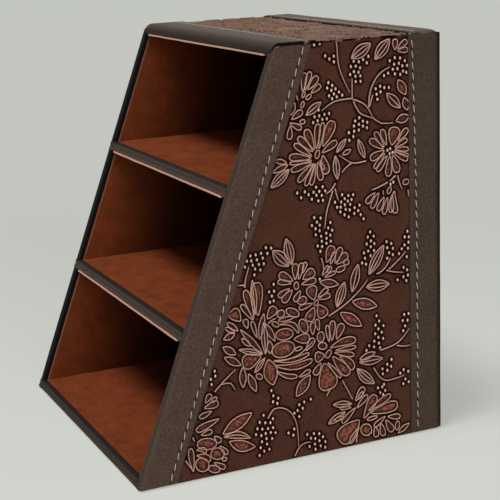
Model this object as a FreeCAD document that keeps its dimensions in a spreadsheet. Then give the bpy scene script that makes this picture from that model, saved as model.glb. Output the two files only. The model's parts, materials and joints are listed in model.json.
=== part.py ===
import FreeCAD, Part
import os
import Sketcher

# A three-compartment caddy for remote controls: a board tower with a slanted front,
# covered with leatherette outside and lined with suede inside.
# X runs across the front, the compartments open towards -Y, and Z is up.
# The origin is in the middle of the footprint, on the surface that the caddy stands on.

SIZES = (
    ("width", 150, "over the bands of both sides"),
    ("height", 180, "from the ground to the raised strip on top"),
    ("base_depth", 147, "front to back at the foot"),
    ("top_depth", 78, "front to back at the top"),
    ("board", 2.5, "thickness of sides, back, shelves and top"),
    ("base_board", 3, "thickness of the base"),
    ("foot", 0.8, "thickness of the pad under the base"),
    ("foot_inset", 1.5, "from the outside of the covers to the edge of the pad"),
    ("leather", 0.8, "thickness of one layer of leatherette"),
    ("hem", 1.5, "thickness of a band with its edge folded under"),
    ("panel", 1, "thickness of the embossed leatherette"),
    ("strip", 2, "thickness of the raised strip along the rear of the top"),
    ("suede", 0.8, "thickness of the lining"),
    ("lower_shelf", 64.5, "from the ground to the lining on the lower shelf"),
    ("upper_shelf", 122.5, "from the ground to the lining on the upper shelf"),
    ("front_band", 15.9, "width of the band on a side, square to the slanted edge"),
    ("rear_band", 16.4, "width of the back cover's wrap on a side"),
    ("top_front_band", 19.1, "width of the band along the front of the top"),
    ("top_rear_band", 14.5, "width of the raised strip"),
    ("turn_in", 1.2, "leatherette turned in past a front edge"),
    ("nose", 4, "radius of the top's front edge"),
    ("nose_inside", 2.1, "radius of the band's inner side there"),
    ("nose_clearance", 0.2, "by which the top board is rounder than the band's inner side"),
    ("front_round", 1.3, "radius of the outer edge of a slanted front"),
    ("inner_round", 0.5, "radius of its inner edge"),
    ("corner_round", 2, "radius of a side's upper front corner"),
    ("binding_round", 0.4, "radius of the edges of a binding"),
    ("rear_round", 2.4, "radius of the rear edges"),
    ("strip_round", 1.2, "radius of the raised strip's edges"),
    ("cap_gap", 0.5, "groove between the top's covers and the side covers"),
    ("seam_gap", 0.2, "between a band and the panel beside it"),
    ("lining_gap", 0.3, "between a turned-in edge and the lining behind it"),
    ("lap", 3.4, "binding lapped over the left side's front edge"),
    ("seam_inset", 3.4, "from the edge of a band to its stitches"),
    ("stitch_pitch", 4.6, "from one stitch to the next"),
    ("stitch", 3.6, "length of a stitch"),
    ("stitch_width", 0.9, "width of a stitch in its middle"),
    ("stitch_height", 0.4, "thread that stands on the leatherette"),
    ("seam_margin", 0.9, "least distance from the end of a band to a stitch"),
)

# Closing ends of a stitch, as a share of its length, and its width there, as a share of its width.
STITCH_END_SHARE = 0.18
STITCH_TIP_SHARE = 0.4
# Distance within which a point counts as on a line, as a share of the piece's size.
ON_LINE_SHARE = 1e-6

doc = FreeCAD.newDocument("RemoteControlCaddy")
sheet = doc.addObject("Spreadsheet::Sheet", "Sizes")
for row, (alias, value, meaning) in enumerate(SIZES, start=1):
    sheet.set(f"A{row}", alias)
    sheet.set(f"B{row}", str(value))
    sheet.set(f"C{row}", meaning)
    sheet.setAlias(f"B{row}", alias)
doc.recompute()

# Places that several pieces share, as expressions in the sizes.
# From front to back:
BACK = "(Sizes.base_depth / 2)"
BACK_BOARD_OUT = f"({BACK} - Sizes.leather)"
BACK_BOARD_IN = f"({BACK_BOARD_OUT} - Sizes.board)"
BACK_LINING_IN = f"({BACK_BOARD_IN} - Sizes.suede)"
# From the middle to the right:
COVER_OUT = "(Sizes.width / 2)"
SIDE_BOARD_OUT = f"({COVER_OUT} - Sizes.hem)"
SIDE_BOARD_IN = f"({SIDE_BOARD_OUT} - Sizes.board)"
INSIDE = f"({SIDE_BOARD_IN} - Sizes.suede)"
CAP_OUT = f"({SIDE_BOARD_OUT} - Sizes.cap_gap)"
PANEL_OUT = f"({SIDE_BOARD_OUT} + Sizes.panel)"
LAP_OUT = f"({INSIDE} + Sizes.lap)"
# From the ground up:
FOOT = "Sizes.foot"
BASE_TOP = "(Sizes.foot + Sizes.base_board)"
TOP_BOARD_TOP = "(Sizes.height - Sizes.strip)"
TOP_BOARD_LOW = f"({TOP_BOARD_TOP} - Sizes.board)"
TOP_LINING_LOW = f"({TOP_BOARD_LOW} - Sizes.suede)"
TOP_BAND_FACE = f"({TOP_BOARD_TOP} + Sizes.hem)"
TOP_PANEL_FACE = f"({TOP_BOARD_TOP} + Sizes.panel)"
COVER_TOP = TOP_PANEL_FACE
# Run of the slanted front per unit of height, and the level length of a unit square to it:
SLOPE = "((Sizes.base_depth - Sizes.top_depth) / (Sizes.height - Sizes.foot))"
STRETCH = f"sqrt(1 + {SLOPE} ^ 2)"
# Behind the slanted front, square to it:
FACE = "0"
BOARD_EDGE = "Sizes.leather"
TURNED_END = "(Sizes.leather + Sizes.turn_in)"
LINING_EDGE = f"({TURNED_END} + Sizes.lining_gap)"
BAND_END = "Sizes.front_band"
PANEL_EDGE = "(Sizes.front_band + Sizes.seam_gap)"


def front(level, depth):
    """Y of a point at a level and a depth behind the slanted front."""
    return f"({SLOPE} * ({level} - Sizes.foot) + {depth} * {STRETCH} - {BACK})"


TOP_FRONT = front(TOP_BAND_FACE, FACE)
TOP_BAND_END = f"({TOP_FRONT} + Sizes.top_front_band)"
STRIP_FRONT = f"({BACK} - Sizes.top_rear_band)"


def measure(expression):
    """Value of an expression in the sizes."""
    return float(sheet.evalExpression(expression))


def strip(low, high, near, far):
    """Corners in Y and Z of a strip along the slanted front, between two levels and two depths."""
    lower = [(front(low, near), low), (front(low, far), low)]
    return lower + [(front(high, far), high), (front(high, near), high)]


def plate(low, high, depth, back):
    """Corners in Y and Z of a plate between two levels, from behind the slanted front to an upright plane."""
    return [(front(low, depth), low), (back, low), (back, high), (front(high, depth), high)]


def block(low, high, near, far):
    """Corners in Y and Z of a block between two levels and two upright planes."""
    return [(near, low), (far, low), (far, high), (near, high)]


def across(half):
    """X range of a piece that runs across the caddy."""
    return f"-{half}", half


def on_side(side, inner, outer):
    """X range of a layer of the right side, or of the same layer of the left side."""
    return (inner, outer) if side == "right" else (f"-{outer}", f"-{inner}")


def new_body(label):
    body = doc.addObject("PartDesign::Body", label)
    body.Label = label
    return body


def origin_feature(body, role):
    return next(item for item in body.Origin.OriginFeatures if item.Role == role)


def outline(body, role, corners, offset):
    """Sketch of a closed outline, each corner held by driven distances from the origin."""
    sketch = body.newObject("Sketcher::SketchObject", "Outline")
    sketch.AttachmentSupport = (origin_feature(body, role), [""])
    sketch.MapMode = "FlatFace"
    sketch.setExpression("AttachmentOffset.Base.z", offset)
    points = [FreeCAD.Vector(measure(level), measure(rise), 0) for level, rise in corners]
    for start, end in zip(points, points[1:] + points[:1]):
        sketch.addGeometry(Part.LineSegment(start, end), False)
    last = len(corners) - 1
    for index, corner in enumerate(corners):
        before = index - 1 if index else last
        sketch.addConstraint(Sketcher.Constraint("Coincident", before, 2, index, 1))
        for kind, expression in zip(("DistanceX", "DistanceY"), corner):
            held = Sketcher.Constraint(kind, -1, 1, index, 1, measure(expression))
            number = sketch.addConstraint(held)
            sketch.setExpression(f"Constraints[{number}]", expression)
    return sketch


def pad(body, corners, span, role="YZ_Plane"):
    """Layer of a piece: an outline pulled along the plane's normal, from one end of the span to the other."""
    start, end = span
    sketch = outline(body, role, corners, start)
    layer = body.newObject("PartDesign::Pad", "Layer")
    layer.Profile = sketch
    layer.setExpression("Length", f"{end} - {start}")
    doc.recompute()
    return layer


def notch(body, corners, span):
    """Cut through a piece with an outline in Y and Z."""
    start, end = span
    sketch = outline(body, "YZ_Plane", corners, start)
    cut = body.newObject("PartDesign::Pocket", "Notch")
    cut.Profile = sketch
    cut.Reversed = True
    cut.setExpression("Length", f"{end} - {start}")
    doc.recompute()


def round_edges(body, radius, *lines):
    """Fillet on the straight edges that lie along any of the lines, each given by two points."""
    shape = body.Shape
    reach = shape.BoundBox.DiagonalLength * ON_LINE_SHARE
    names = []
    for first, last in lines:
        start = FreeCAD.Vector(*map(measure, first))
        direction = (FreeCAD.Vector(*map(measure, last)) - start).normalize()
        for number, edge in enumerate(shape.Edges, start=1):
            ends = [vertex.Point for vertex in edge.Vertexes]
            if len(ends) == 2 and all((end - start).cross(direction).Length < reach for end in ends):
                names.append(f"Edge{number}")
    sharp = body.Tip
    fillet = body.newObject("PartDesign::Fillet", "Round")
    fillet.Base = (sharp, names)
    fillet.setExpression("Radius", radius)
    doc.recompute()


def edge_along_x(span, corner):
    """Line through a corner in Y and Z, along X."""
    return [(end, *corner) for end in span]


def simple_piece(label, corners, span):
    body = new_body(label)
    pad(body, corners, span)
    return body


# Shelves, from the bottom: name, upper face of the floor lining, lower face of the board.
LOWER_BOARD = "(Sizes.lower_shelf - Sizes.suede - Sizes.board)"
UPPER_BOARD = "(Sizes.upper_shelf - Sizes.suede - Sizes.board)"
FLOOR_FACE = f"({BASE_TOP} + Sizes.suede)"
SHELVES = (("lower", "Sizes.lower_shelf", LOWER_BOARD), ("upper", "Sizes.upper_shelf", UPPER_BOARD))
# Heights that the bindings cover: base, lower shelf, upper shelf.
BINDINGS = ((FOOT, FLOOR_FACE),) + tuple((f"({low} - Sizes.suede)", face) for _, face, low in SHELVES)


def make_boards():
    for side in ("left", "right"):
        profile = plate(FOOT, TOP_BOARD_LOW, BOARD_EDGE, BACK_BOARD_OUT)
        simple_piece(f"{side}_side_board", profile, on_side(side, SIDE_BOARD_IN, SIDE_BOARD_OUT))
    profile = block(FOOT, TOP_BOARD_LOW, BACK_BOARD_IN, BACK_BOARD_OUT)
    simple_piece("back_board", profile, across(SIDE_BOARD_IN))
    simple_piece("base_board", plate(FOOT, BASE_TOP, BOARD_EDGE, BACK_LINING_IN), across(INSIDE))
    for name, face, low in SHELVES:
        profile = plate(low, f"({face} - Sizes.suede)", BOARD_EDGE, BACK_LINING_IN)
        simple_piece(f"{name}_shelf_board", profile, across(INSIDE))
    profile = plate(TOP_BOARD_LOW, TOP_BOARD_TOP, BOARD_EDGE, BACK_BOARD_OUT)
    top = simple_piece("top_board", profile, across(SIDE_BOARD_OUT))
    nose = edge_along_x(across(SIDE_BOARD_OUT), profile[3])
    round_edges(top, "Sizes.nose_inside + Sizes.nose_clearance", nose)


def make_linings():
    for side in ("left", "right"):
        profile = plate(FOOT, TOP_BOARD_LOW, LINING_EDGE, BACK_BOARD_IN)
        simple_piece(f"{side}_wall_lining", profile, on_side(side, INSIDE, SIDE_BOARD_IN))
    simple_piece("back_lining", block(FOOT, TOP_BOARD_LOW, BACK_LINING_IN, BACK_BOARD_IN), across(INSIDE))
    floors = (BASE_TOP,) + tuple(f"({face} - Sizes.suede)" for _, face, _ in SHELVES)
    ceilings = tuple(low for _, _, low in SHELVES) + (TOP_BOARD_LOW,)
    for name, floor, ceiling in zip(("lower", "middle", "upper"), floors, ceilings):
        profile = plate(floor, f"({floor} + Sizes.suede)", LINING_EDGE, BACK_LINING_IN)
        simple_piece(f"{name}_floor_lining", profile, across(INSIDE))
        profile = plate(f"({ceiling} - Sizes.suede)", ceiling, LINING_EDGE, BACK_LINING_IN)
        simple_piece(f"{name}_ceiling_lining", profile, across(INSIDE))


def make_bindings():
    """Leatherette round the front edges of the base and shelves, its left end lapped over the side."""
    for name, (low, high) in zip(("base_edge", "lower_shelf", "upper_shelf"), BINDINGS):
        board_high = f"({high} - Sizes.suede)"
        inner_side = [(front(board_high, depth), board_high) for depth in (BOARD_EDGE, TURNED_END)]
        outer_side = [(front(high, depth), high) for depth in (TURNED_END, FACE)]
        outer_side.append((front(low, FACE), low))
        if low == FOOT:
            under_side = [(front(low, BOARD_EDGE), low)]
        else:
            board_low = f"({low} + Sizes.suede)"
            under_side = [(front(low, TURNED_END), low), (front(board_low, TURNED_END), board_low)]
            under_side.append((front(board_low, BOARD_EDGE), board_low))
        body = simple_piece(f"{name}_binding", under_side + inner_side + outer_side, across(INSIDE))
        pad(body, strip(low, high, FACE, BOARD_EDGE), (f"-{LAP_OUT}", f"-{INSIDE}"))
        span = (f"-{LAP_OUT}", INSIDE)
        edges = [edge_along_x(span, (front(level, FACE), level)) for level in (low, high)]
        round_edges(body, "Sizes.binding_round", *edges)


def make_front_bands():
    """Bands on the sides, wrapped round the slanted front edges and turned in."""
    for side in ("left", "right"):
        body = new_body(f"{side}_front_band")
        outer = on_side(side, SIDE_BOARD_OUT, COVER_OUT)
        pad(body, strip(FOOT, COVER_TOP, FACE, BAND_END), outer)
        pad(body, strip(FOOT, TOP_BOARD_LOW, FACE, BOARD_EDGE), on_side(side, INSIDE, SIDE_BOARD_OUT))
        pad(body, strip(FOOT, TOP_BOARD_LOW, BOARD_EDGE, TURNED_END), on_side(side, INSIDE, SIDE_BOARD_IN))
        top_corner = (front(COVER_TOP, FACE), COVER_TOP)
        round_edges(body, "Sizes.corner_round", edge_along_x(outer, top_corner))
        long_edges = (("front_round", COVER_OUT, COVER_TOP), ("inner_round", INSIDE, TOP_BOARD_LOW))
        for radius, edge, end in long_edges:
            place = on_side(side, edge, edge)[0]
            slant = [(place, front(level, FACE), level) for level in (FOOT, end)]
            round_edges(body, f"Sizes.{radius}", slant)
        if side == "left":
            for low, high in BINDINGS:
                notch(body, strip(low, high, FACE, BOARD_EDGE), (f"-{LAP_OUT}", f"-{INSIDE}"))


def make_top_covers():
    body = new_body("top_front_band")
    nose = (TOP_FRONT, TOP_BAND_FACE)
    inner_nose = (front(TOP_BOARD_TOP, BOARD_EDGE), TOP_BOARD_TOP)
    profile = [
        (front(TOP_BOARD_LOW, FACE), TOP_BOARD_LOW),
        (front(TOP_BOARD_LOW, BOARD_EDGE), TOP_BOARD_LOW),
        inner_nose,
        (TOP_BAND_END, TOP_BOARD_TOP),
        (TOP_BAND_END, TOP_BAND_FACE),
        nose,
    ]
    pad(body, profile, across(CAP_OUT))
    pad(body, strip(TOP_LINING_LOW, TOP_BOARD_LOW, FACE, TURNED_END), across(INSIDE))
    round_edges(body, "Sizes.nose", edge_along_x(across(CAP_OUT), nose))
    round_edges(body, "Sizes.nose_inside", edge_along_x(across(CAP_OUT), inner_nose))

    near, far = f"({TOP_BAND_END} + Sizes.seam_gap)", f"({STRIP_FRONT} - Sizes.seam_gap)"
    simple_piece("top_embossed_panel", block(TOP_BOARD_TOP, TOP_PANEL_FACE, near, far), across(CAP_OUT))

    sides = (STRIP_FRONT, f"({BACK_BOARD_OUT} - Sizes.seam_gap)")
    profile = block(TOP_BOARD_TOP, "Sizes.height", *sides)
    raised = simple_piece("top_rear_band", profile, across(CAP_OUT))
    long_edges = [edge_along_x(across(CAP_OUT), (place, "Sizes.height")) for place in sides]
    end_edges = [[(end, place, "Sizes.height") for place in sides] for end in across(CAP_OUT)]
    round_edges(raised, "Sizes.strip_round", *long_edges, *end_edges)


def make_side_and_back_covers():
    wrap_start = f"({BACK} - Sizes.rear_band)"
    for side in ("left", "right"):
        profile = plate(FOOT, COVER_TOP, PANEL_EDGE, f"({wrap_start} - Sizes.seam_gap)")
        simple_piece(f"{side}_embossed_panel", profile, on_side(side, SIDE_BOARD_OUT, PANEL_OUT))

    profile = block(FOOT, COVER_TOP, BACK_BOARD_OUT, BACK)
    cover = simple_piece("back_cover", profile, across(SIDE_BOARD_OUT))
    for side in ("left", "right"):
        wrap = block(FOOT, COVER_TOP, wrap_start, BACK)
        pad(cover, wrap, on_side(side, SIDE_BOARD_OUT, COVER_OUT))
    uprights = [[(end, BACK, level) for level in (FOOT, COVER_TOP)] for end in across(COVER_OUT)]
    round_edges(cover, "Sizes.rear_round", *uprights)

    near, far = f"(Sizes.foot_inset - {BACK})", f"({BACK} - Sizes.foot_inset)"
    simple_piece("base_pad", block("0", FOOT, near, far), across(f"({COVER_OUT} - Sizes.foot_inset)"))


def make_seam(label, role, run, corners, length, place, lean="0"):
    """Row of stitches along one axis, evenly placed on a seam of a given length."""
    body = new_body(label)
    body.AllowCompound = True
    stitch = pad(body, corners, ("0", "Sizes.stitch_height"), role)
    count = f"floor(({length} - 2 * Sizes.seam_margin - Sizes.stitch) / Sizes.stitch_pitch) + 1"
    row_of = body.newObject("PartDesign::LinearPattern", "Stitches")
    row_of.Originals = [stitch]
    row_of.Direction = (origin_feature(body, run), [""])
    row_of.Mode = "Spacing"
    row_of.setExpression("Offset", "Sizes.stitch_pitch")
    row_of.setExpression("Occurrences", count)
    body.Tip = row_of
    body.setExpression("Placement.Rotation.Axis.x", "1")
    body.setExpression("Placement.Rotation.Axis.z", "0")
    body.setExpression("Placement.Rotation.Angle", lean)
    margin = f"(({length} - ({count} - 1) * Sizes.stitch_pitch - Sizes.stitch) / 2)"
    for name, value in zip("xyz", place(margin)):
        body.setExpression(f"Placement.Base.{name}", value)
    doc.recompute()


def make_seams():
    tip, half = f"(Sizes.stitch_width * {STITCH_TIP_SHARE} / 2)", "(Sizes.stitch_width / 2)"
    end = f"(Sizes.stitch * {STITCH_END_SHARE})"
    one_edge = [(tip, "0"), (half, end), (half, f"(Sizes.stitch - {end})"), (tip, "Sizes.stitch")]
    upright = one_edge + [(f"-{side}", rise) for side, rise in reversed(one_edge)]
    level = [(rise, side) for side, rise in reversed(upright)]

    tall = f"({COVER_TOP} - Sizes.foot)"
    slanted = f"({tall} * {STRETCH})"
    rear = f"({BACK} - Sizes.rear_band + Sizes.seam_inset)"
    depth = "(Sizes.front_band - Sizes.seam_inset)"
    for side in ("left", "right"):
        face = on_side(side, COVER_OUT, f"({COVER_OUT} + Sizes.stitch_height)")[0]

        def on_front(margin):
            start = f"(Sizes.foot + {margin} / {STRETCH})"
            return face, front(start, depth), start

        def on_rear(margin):
            return face, rear, f"(Sizes.foot + {margin})"

        make_seam(f"{side}_front_seam", "YZ_Plane", "Z_Axis", upright, slanted, on_front, f"-atan({SLOPE})")
        make_seam(f"{side}_rear_seam", "YZ_Plane", "Z_Axis", upright, tall, on_rear)

    wide = f"(2 * {CAP_OUT})"
    tops = (
        ("front", f"({TOP_BAND_END} - Sizes.seam_inset)", TOP_BAND_FACE),
        ("rear", f"({STRIP_FRONT} + Sizes.seam_inset)", "Sizes.height"),
    )
    for name, line, face in tops:

        def on_top(margin):
            return f"({margin} - {CAP_OUT})", line, face

        make_seam(f"top_{name}_seam", "XY_Plane", "X_Axis", level, wide, on_top)


make_boards()
make_linings()
make_bindings()
make_front_bands()
make_top_covers()
make_side_and_back_covers()
make_seams()
doc.recompute()

failed = [item.Name for item in doc.Objects if {"Invalid", "Error"} & set(item.State)]
if failed:
    raise RuntimeError(f"these failed to build: {failed}")
bodies = [item for item in doc.Objects if item.TypeId == "PartDesign::Body"]
for body in bodies:
    if body.Shape.isNull() or not body.Shape.isValid() or not body.Shape.Solids:
        raise RuntimeError(f"{body.Label} has no valid shape")

os.makedirs("parts", exist_ok=True)
for body in bodies:
    body.Shape.exportStep(f"parts/{body.Label}.step")
    print(body.Label, len(body.Shape.Solids), round(body.Shape.Volume, 1))
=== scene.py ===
"""Dresses a three-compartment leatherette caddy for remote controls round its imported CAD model."""
import json
import math
import random

import bmesh
import bpy
from mathutils import Matrix, Vector, kdtree, noise

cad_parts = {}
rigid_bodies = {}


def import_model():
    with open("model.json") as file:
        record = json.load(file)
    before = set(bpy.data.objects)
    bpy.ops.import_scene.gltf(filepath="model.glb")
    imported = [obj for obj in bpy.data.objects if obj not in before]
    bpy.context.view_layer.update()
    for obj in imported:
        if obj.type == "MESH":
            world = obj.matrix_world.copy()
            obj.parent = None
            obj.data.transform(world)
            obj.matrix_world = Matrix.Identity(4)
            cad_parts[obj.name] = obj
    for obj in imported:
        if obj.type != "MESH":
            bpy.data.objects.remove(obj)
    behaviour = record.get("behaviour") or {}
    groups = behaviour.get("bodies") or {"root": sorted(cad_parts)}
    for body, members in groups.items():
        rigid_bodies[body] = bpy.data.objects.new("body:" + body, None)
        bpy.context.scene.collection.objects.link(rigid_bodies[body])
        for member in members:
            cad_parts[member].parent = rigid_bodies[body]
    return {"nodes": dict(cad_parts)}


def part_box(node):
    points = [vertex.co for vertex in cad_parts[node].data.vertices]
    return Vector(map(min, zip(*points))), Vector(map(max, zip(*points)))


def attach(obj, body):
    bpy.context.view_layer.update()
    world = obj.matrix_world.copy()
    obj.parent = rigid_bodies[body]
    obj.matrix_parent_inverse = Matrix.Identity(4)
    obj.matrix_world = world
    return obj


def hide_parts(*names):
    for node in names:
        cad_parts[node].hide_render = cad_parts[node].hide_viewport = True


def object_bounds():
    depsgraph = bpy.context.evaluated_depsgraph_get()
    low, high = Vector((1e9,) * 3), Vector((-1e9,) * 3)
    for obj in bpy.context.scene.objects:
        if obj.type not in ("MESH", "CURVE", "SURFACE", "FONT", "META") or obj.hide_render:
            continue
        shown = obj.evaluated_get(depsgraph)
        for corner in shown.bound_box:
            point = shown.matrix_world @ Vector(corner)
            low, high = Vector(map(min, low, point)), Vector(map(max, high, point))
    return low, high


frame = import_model()
CAD_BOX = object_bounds()

bl_info = {
    "name": "Remote control caddy",
    "version": (1, 0, 0),
    "blender": (4, 5, 0),
    "location": "View3D > Sidebar > Caddy",
    "description": "Covers, lining and stitches of a leatherette caddy for remote controls",
    "category": "Mesh",
}

MM = 0.001
SIDES = (("left", -1), ("right", 1))

# The slanted front, read from the frame: its foot, its lean and its two directions.
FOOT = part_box("base_edge_binding")[0]
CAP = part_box("top_front_band")[0]
SLOPE = (CAP.y - FOOT.y) / (CAP.z - FOOT.z)
LEAN = math.atan(SLOPE)
UPWARD = Vector((0, math.sin(LEAN), math.cos(LEAN)))
INWARD = Vector((0, math.cos(LEAN), -math.sin(LEAN)))
ACROSS = Vector((1, 0, 0))
BACKWARD = Vector((0, 1, 0))
STANDING = Vector((0, 0, 1))

# The embossed flowers, in millimetres: along a side from the middle of its foot to the rear, and up from the
# ground. Their places were read one by one. A row holds base, tip and width, and in some rows a sideways
# bend.
# Petals with a round tip.
PETALS = (
    # Bud fan and half flower under the upper corner.
    (7.2, 159.5, 8.4, 167.3, 2.4), (8.3, 160, 11, 167.5, 2.2), (9.8, 160.2, 14.3, 165.3, 2.8),
    (11.2, 158.7, 15.5, 161.7, 2.2), (1.8, 148.7, 6.8, 151.7, 2.6), (1, 147.2, 6.2, 144.3, 2.2),
    (1.2, 146, 0.5, 140.5, 2.4), (51.2, 173.5, 51.3, 178, 2.4), (52.5, 174, 57, 177, 2.4),
    (52.5, 173, 57.4, 173.2, 2.2),
    # Large daisy.
    (11.2, 134.3, 4.6, 141, 2.8), (11.8, 135, 8.2, 143.8, 3.2), (12.9, 135.3, 13.9, 145.7, 2.6),
    (10.7, 132.4, 2.7, 138.3, 2.4), (10.2, 131.6, 0.3, 133, 3.2), (10.6, 130.6, 0.4, 130.4, 1.6),
    (10.5, 129.8, 1, 127.3, 2.6), (11.2, 129.2, 4, 122.2, 2.4), (12, 129, 7.4, 120.2, 2.2),
    (12.4, 129, 10, 120.2, 2.2), (13.6, 129.6, 14.8, 121.8, 2.6), (14.5, 130.2, 16.3, 126.2, 1.2),
    (15.6, 133.4, 22.6, 137.5, 2.8),
    # Daisy at the rear band.
    (45.3, 132.6, 41, 139.6, 2.2), (46.4, 133.4, 44.4, 140.3, 2.4), (45, 132, 38.4, 136.6, 2.8),
    (45.4, 131.2, 38.6, 128.2, 3.2), (45.6, 130, 40.4, 124, 2), (46.8, 128.8, 41.8, 122.6, 2.4),
    (48.2, 128.6, 47.2, 119.8, 3), (49.6, 128.8, 52, 121, 3.4), (50, 130, 57, 126, 2.4),
    (50.4, 130.6, 57.4, 127.8, 1.4), (50.8, 131.4, 57.4, 130.6, 2), (52.5, 134.6, 57, 139.6, 2.6),
    # Hanging bell.
    (40.6, 113.4, 36.2, 109.4, 2.4), (42.4, 113.2, 38.8, 106.8, 2.4), (45, 111, 42, 105.3, 2.4),
    (46.8, 110.6, 44.8, 103.4, 2.2), (49, 111.5, 48.3, 103.8, 2.4), (50.2, 113, 50.8, 103.2, 3.2, -0.8),
    # Small flower and its lower neighbour.
    (0.2, 80.2, -6, 84, 3.4), (-0.6, 79.2, -6.8, 80.8, 2.2), (-1.5, 77, -6.8, 74.2, 2.4),
    (-0.2, 76.2, -4.8, 71.6, 3.2), (1.4, 80.6, 1.6, 87.5, 2.8), (3, 80.4, 4.8, 87.4, 2.4),
    (5, 83, 6.6, 87.4, 1.8), (4.4, 78, 11.2, 79, 2.6), (3.6, 75.4, 0.8, 71, 2.4),
    (10, 70.4, 8.6, 76.6, 5), (12, 71.2, 16.8, 74.4, 2.2), (12.4, 70.4, 17.8, 71.4, 2.4),
    (9.2, 68.8, 2.8, 67.6, 2.2),
    # Fan sprig beside it.
    (16.6, 86, 19.4, 92.8, 4), (18.4, 85, 20.4, 90, 1.8), (20.6, 85, 23.6, 91.6, 2.8),
    (14.2, 80.6, 17.4, 84.2, 1.8), (15.4, 79.6, 20.6, 81.2, 1.6),
    # Tall leaves left of the rose.
    (-18.6, 66.4, -22, 79.4, 3), (-18.9, 66, -24, 73.4, 2.2), (-21.6, 62.8, -22.6, 66.8, 2.4),
    (-17.4, 58, -19.4, 65.4, 1.8),
    # Rose.
    (-12.2, 65.4, -8.4, 70, 4), (-6.4, 61.8, 2.4, 57, 2, 2.2), (0, 54.4, 7.4, 53.6, 4.2),
    (9, 55, 9.2, 60.4, 2.4), (-9.6, 44.2, 8.6, 43.6, 3, -1.8), (-8.8, 41.4, 1, 37.4, 2, -0.8),
    (2, 37, 7.4, 39.2, 1.8), (5.6, 48.4, 9.4, 53.2, 2.8), (-9.8, 46.4, 7.2, 46.8, 2, -1.4),
    # Half daisy right of the rose.
    (16.8, 50.5, 16, 58, 1.8), (18.2, 50.8, 18.8, 59.6, 2.8), (20.6, 51, 23.4, 57.6, 3.4),
    (17.4, 47.6, 30, 49.2, 3.6, 0.8), (20, 46, 30, 46, 1.8), (19.4, 45, 29, 42.4, 2.2),
    (22, 43, 28.6, 36, 3.4, 0.8), (16, 41, 22.2, 33.2, 1.8), (12, 56.4, 11, 61.4, 2.2),
    (12.6, 41.4, 9.4, 36.6, 3),
    # Sprigs at the slanted band.
    (-42, 33.4, -39.6, 36.8, 2.4), (-42.6, 31.2, -36.2, 32.4, 3), (-39.4, 29.2, -45, 27.4, 2.2),
    (-36.2, 25.2, -46.8, 21.8, 3),
    # Rose at the lower left.
    (-44.6, 19.6, -39.6, 20.4, 2.2), (-38.6, 17.8, -36, 14.8, 2.4), (-47, 13.2, -42.6, 11.6, 2, 0.8),
    (-47, 10.8, -41, 7.4, 2.4, 0.8), (-36.4, 13, -33, 8.8, 2), (-39.2, 6, -34.4, 2.6, 2.2),
    (-49, 4, -49.8, 14.6, 2.4),
    # Flower at the lower right.
    (27, 18.4, 21.6, 19, 1.6), (29.2, 17.8, 22.4, 12, 2.4), (29.4, 21, 33.6, 26.6, 3),
    (30, 17.6, 35.4, 22.6, 2.4), (35.8, 15.2, 47.2, 20.6, 2.8), (45.6, 10.4, 52, 9.4, 2.4),
    (44.2, 10.8, 38.6, 7.2, 2.2), (39, 7, 39.8, 2, 2.6), (42, 8, 43.4, 1.8, 2.6), (44.6, 9, 48, 3, 3),
    (30.8, 8.4, 26, 1.6, 2.2),
)
# Petals filled with pressed dots.
DOTTED_PETALS = (
    (14.2, 135.2, 16.3, 146, 2), (16, 136, 21, 146.2, 4.4), (15.8, 132.2, 17.4, 124.2, 3.8),
    (50.6, 132.2, 56.8, 135, 2), (49.2, 133.2, 51, 140.8, 5.4), (5, 80.2, 10.5, 83.2, 4.2),
    (12, 67.8, 15, 62, 5), (10, 67, 7, 61.2, 4.4), (21.4, 84.6, 26.6, 88.4, 3.4),
    (-16.4, 67.5, -16.6, 82, 5), (-24.6, 66.4, -28.5, 71.6, 5), (-15.8, 49.4, -24.4, 47.4, 6.6),
    (18.4, 43.4, 26.2, 33.8, 4.4), (14.2, 41, 16.6, 28.6, 9), (14.4, 44.6, 9.8, 44.4, 4.6),
    (33.4, 12, 39.4, 22, 4.4), (37, 13.8, 50.8, 15.4, 5), (31, 11.6, 21, 3.6, 9),
)
# Pointed leaves with a rib down the middle, or two ribs where they are wide.
LEAVES = (
    (30.2, 171.4, 39.5, 177, 5), (41.4, 170.2, 48.6, 178.2, 5), (8.5, 149.7, 15.6, 154.6, 3.2),
    (53.5, 148.8, 46.9, 155.5, 4), (22.4, 132.8, 27, 138, 2.2), (21.8, 131.4, 22.5, 121.3, 3),
    (32.8, 137.3, 35.8, 129, 2.6), (0, 128, -8.6, 121.2, 4.2), (-1.5, 86.8, -8.7, 94.5, 5.4),
    (0, 87.3, -2.3, 98.8, 4.4), (-17.8, 68, -18.5, 83.3, 2.6), (-15, 50.2, -25.8, 54, 2.4),
    (-13.6, 50, -14, 64.2, 2.8), (-14, 48.4, -19, 42.6, 2.2), (21, 65.4, 25, 76, 4.4),
    (28.6, 71, 31.8, 83, 4), (37, 77.6, 44.6, 89.8, 4.6), (35.6, 72.2, 47.2, 72, 5),
    (31.6, 38.4, 43.4, 38.4, 3.8), (30.4, 35.8, 39, 27.4, 4.4, -0.6), (-34.4, 16.6, -22, 13.8, 3, 1.2),
    (27.4, 20, 18.2, 21.2, 3), (24, 16.8, 15.6, 12.8, 3.2),
)
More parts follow.
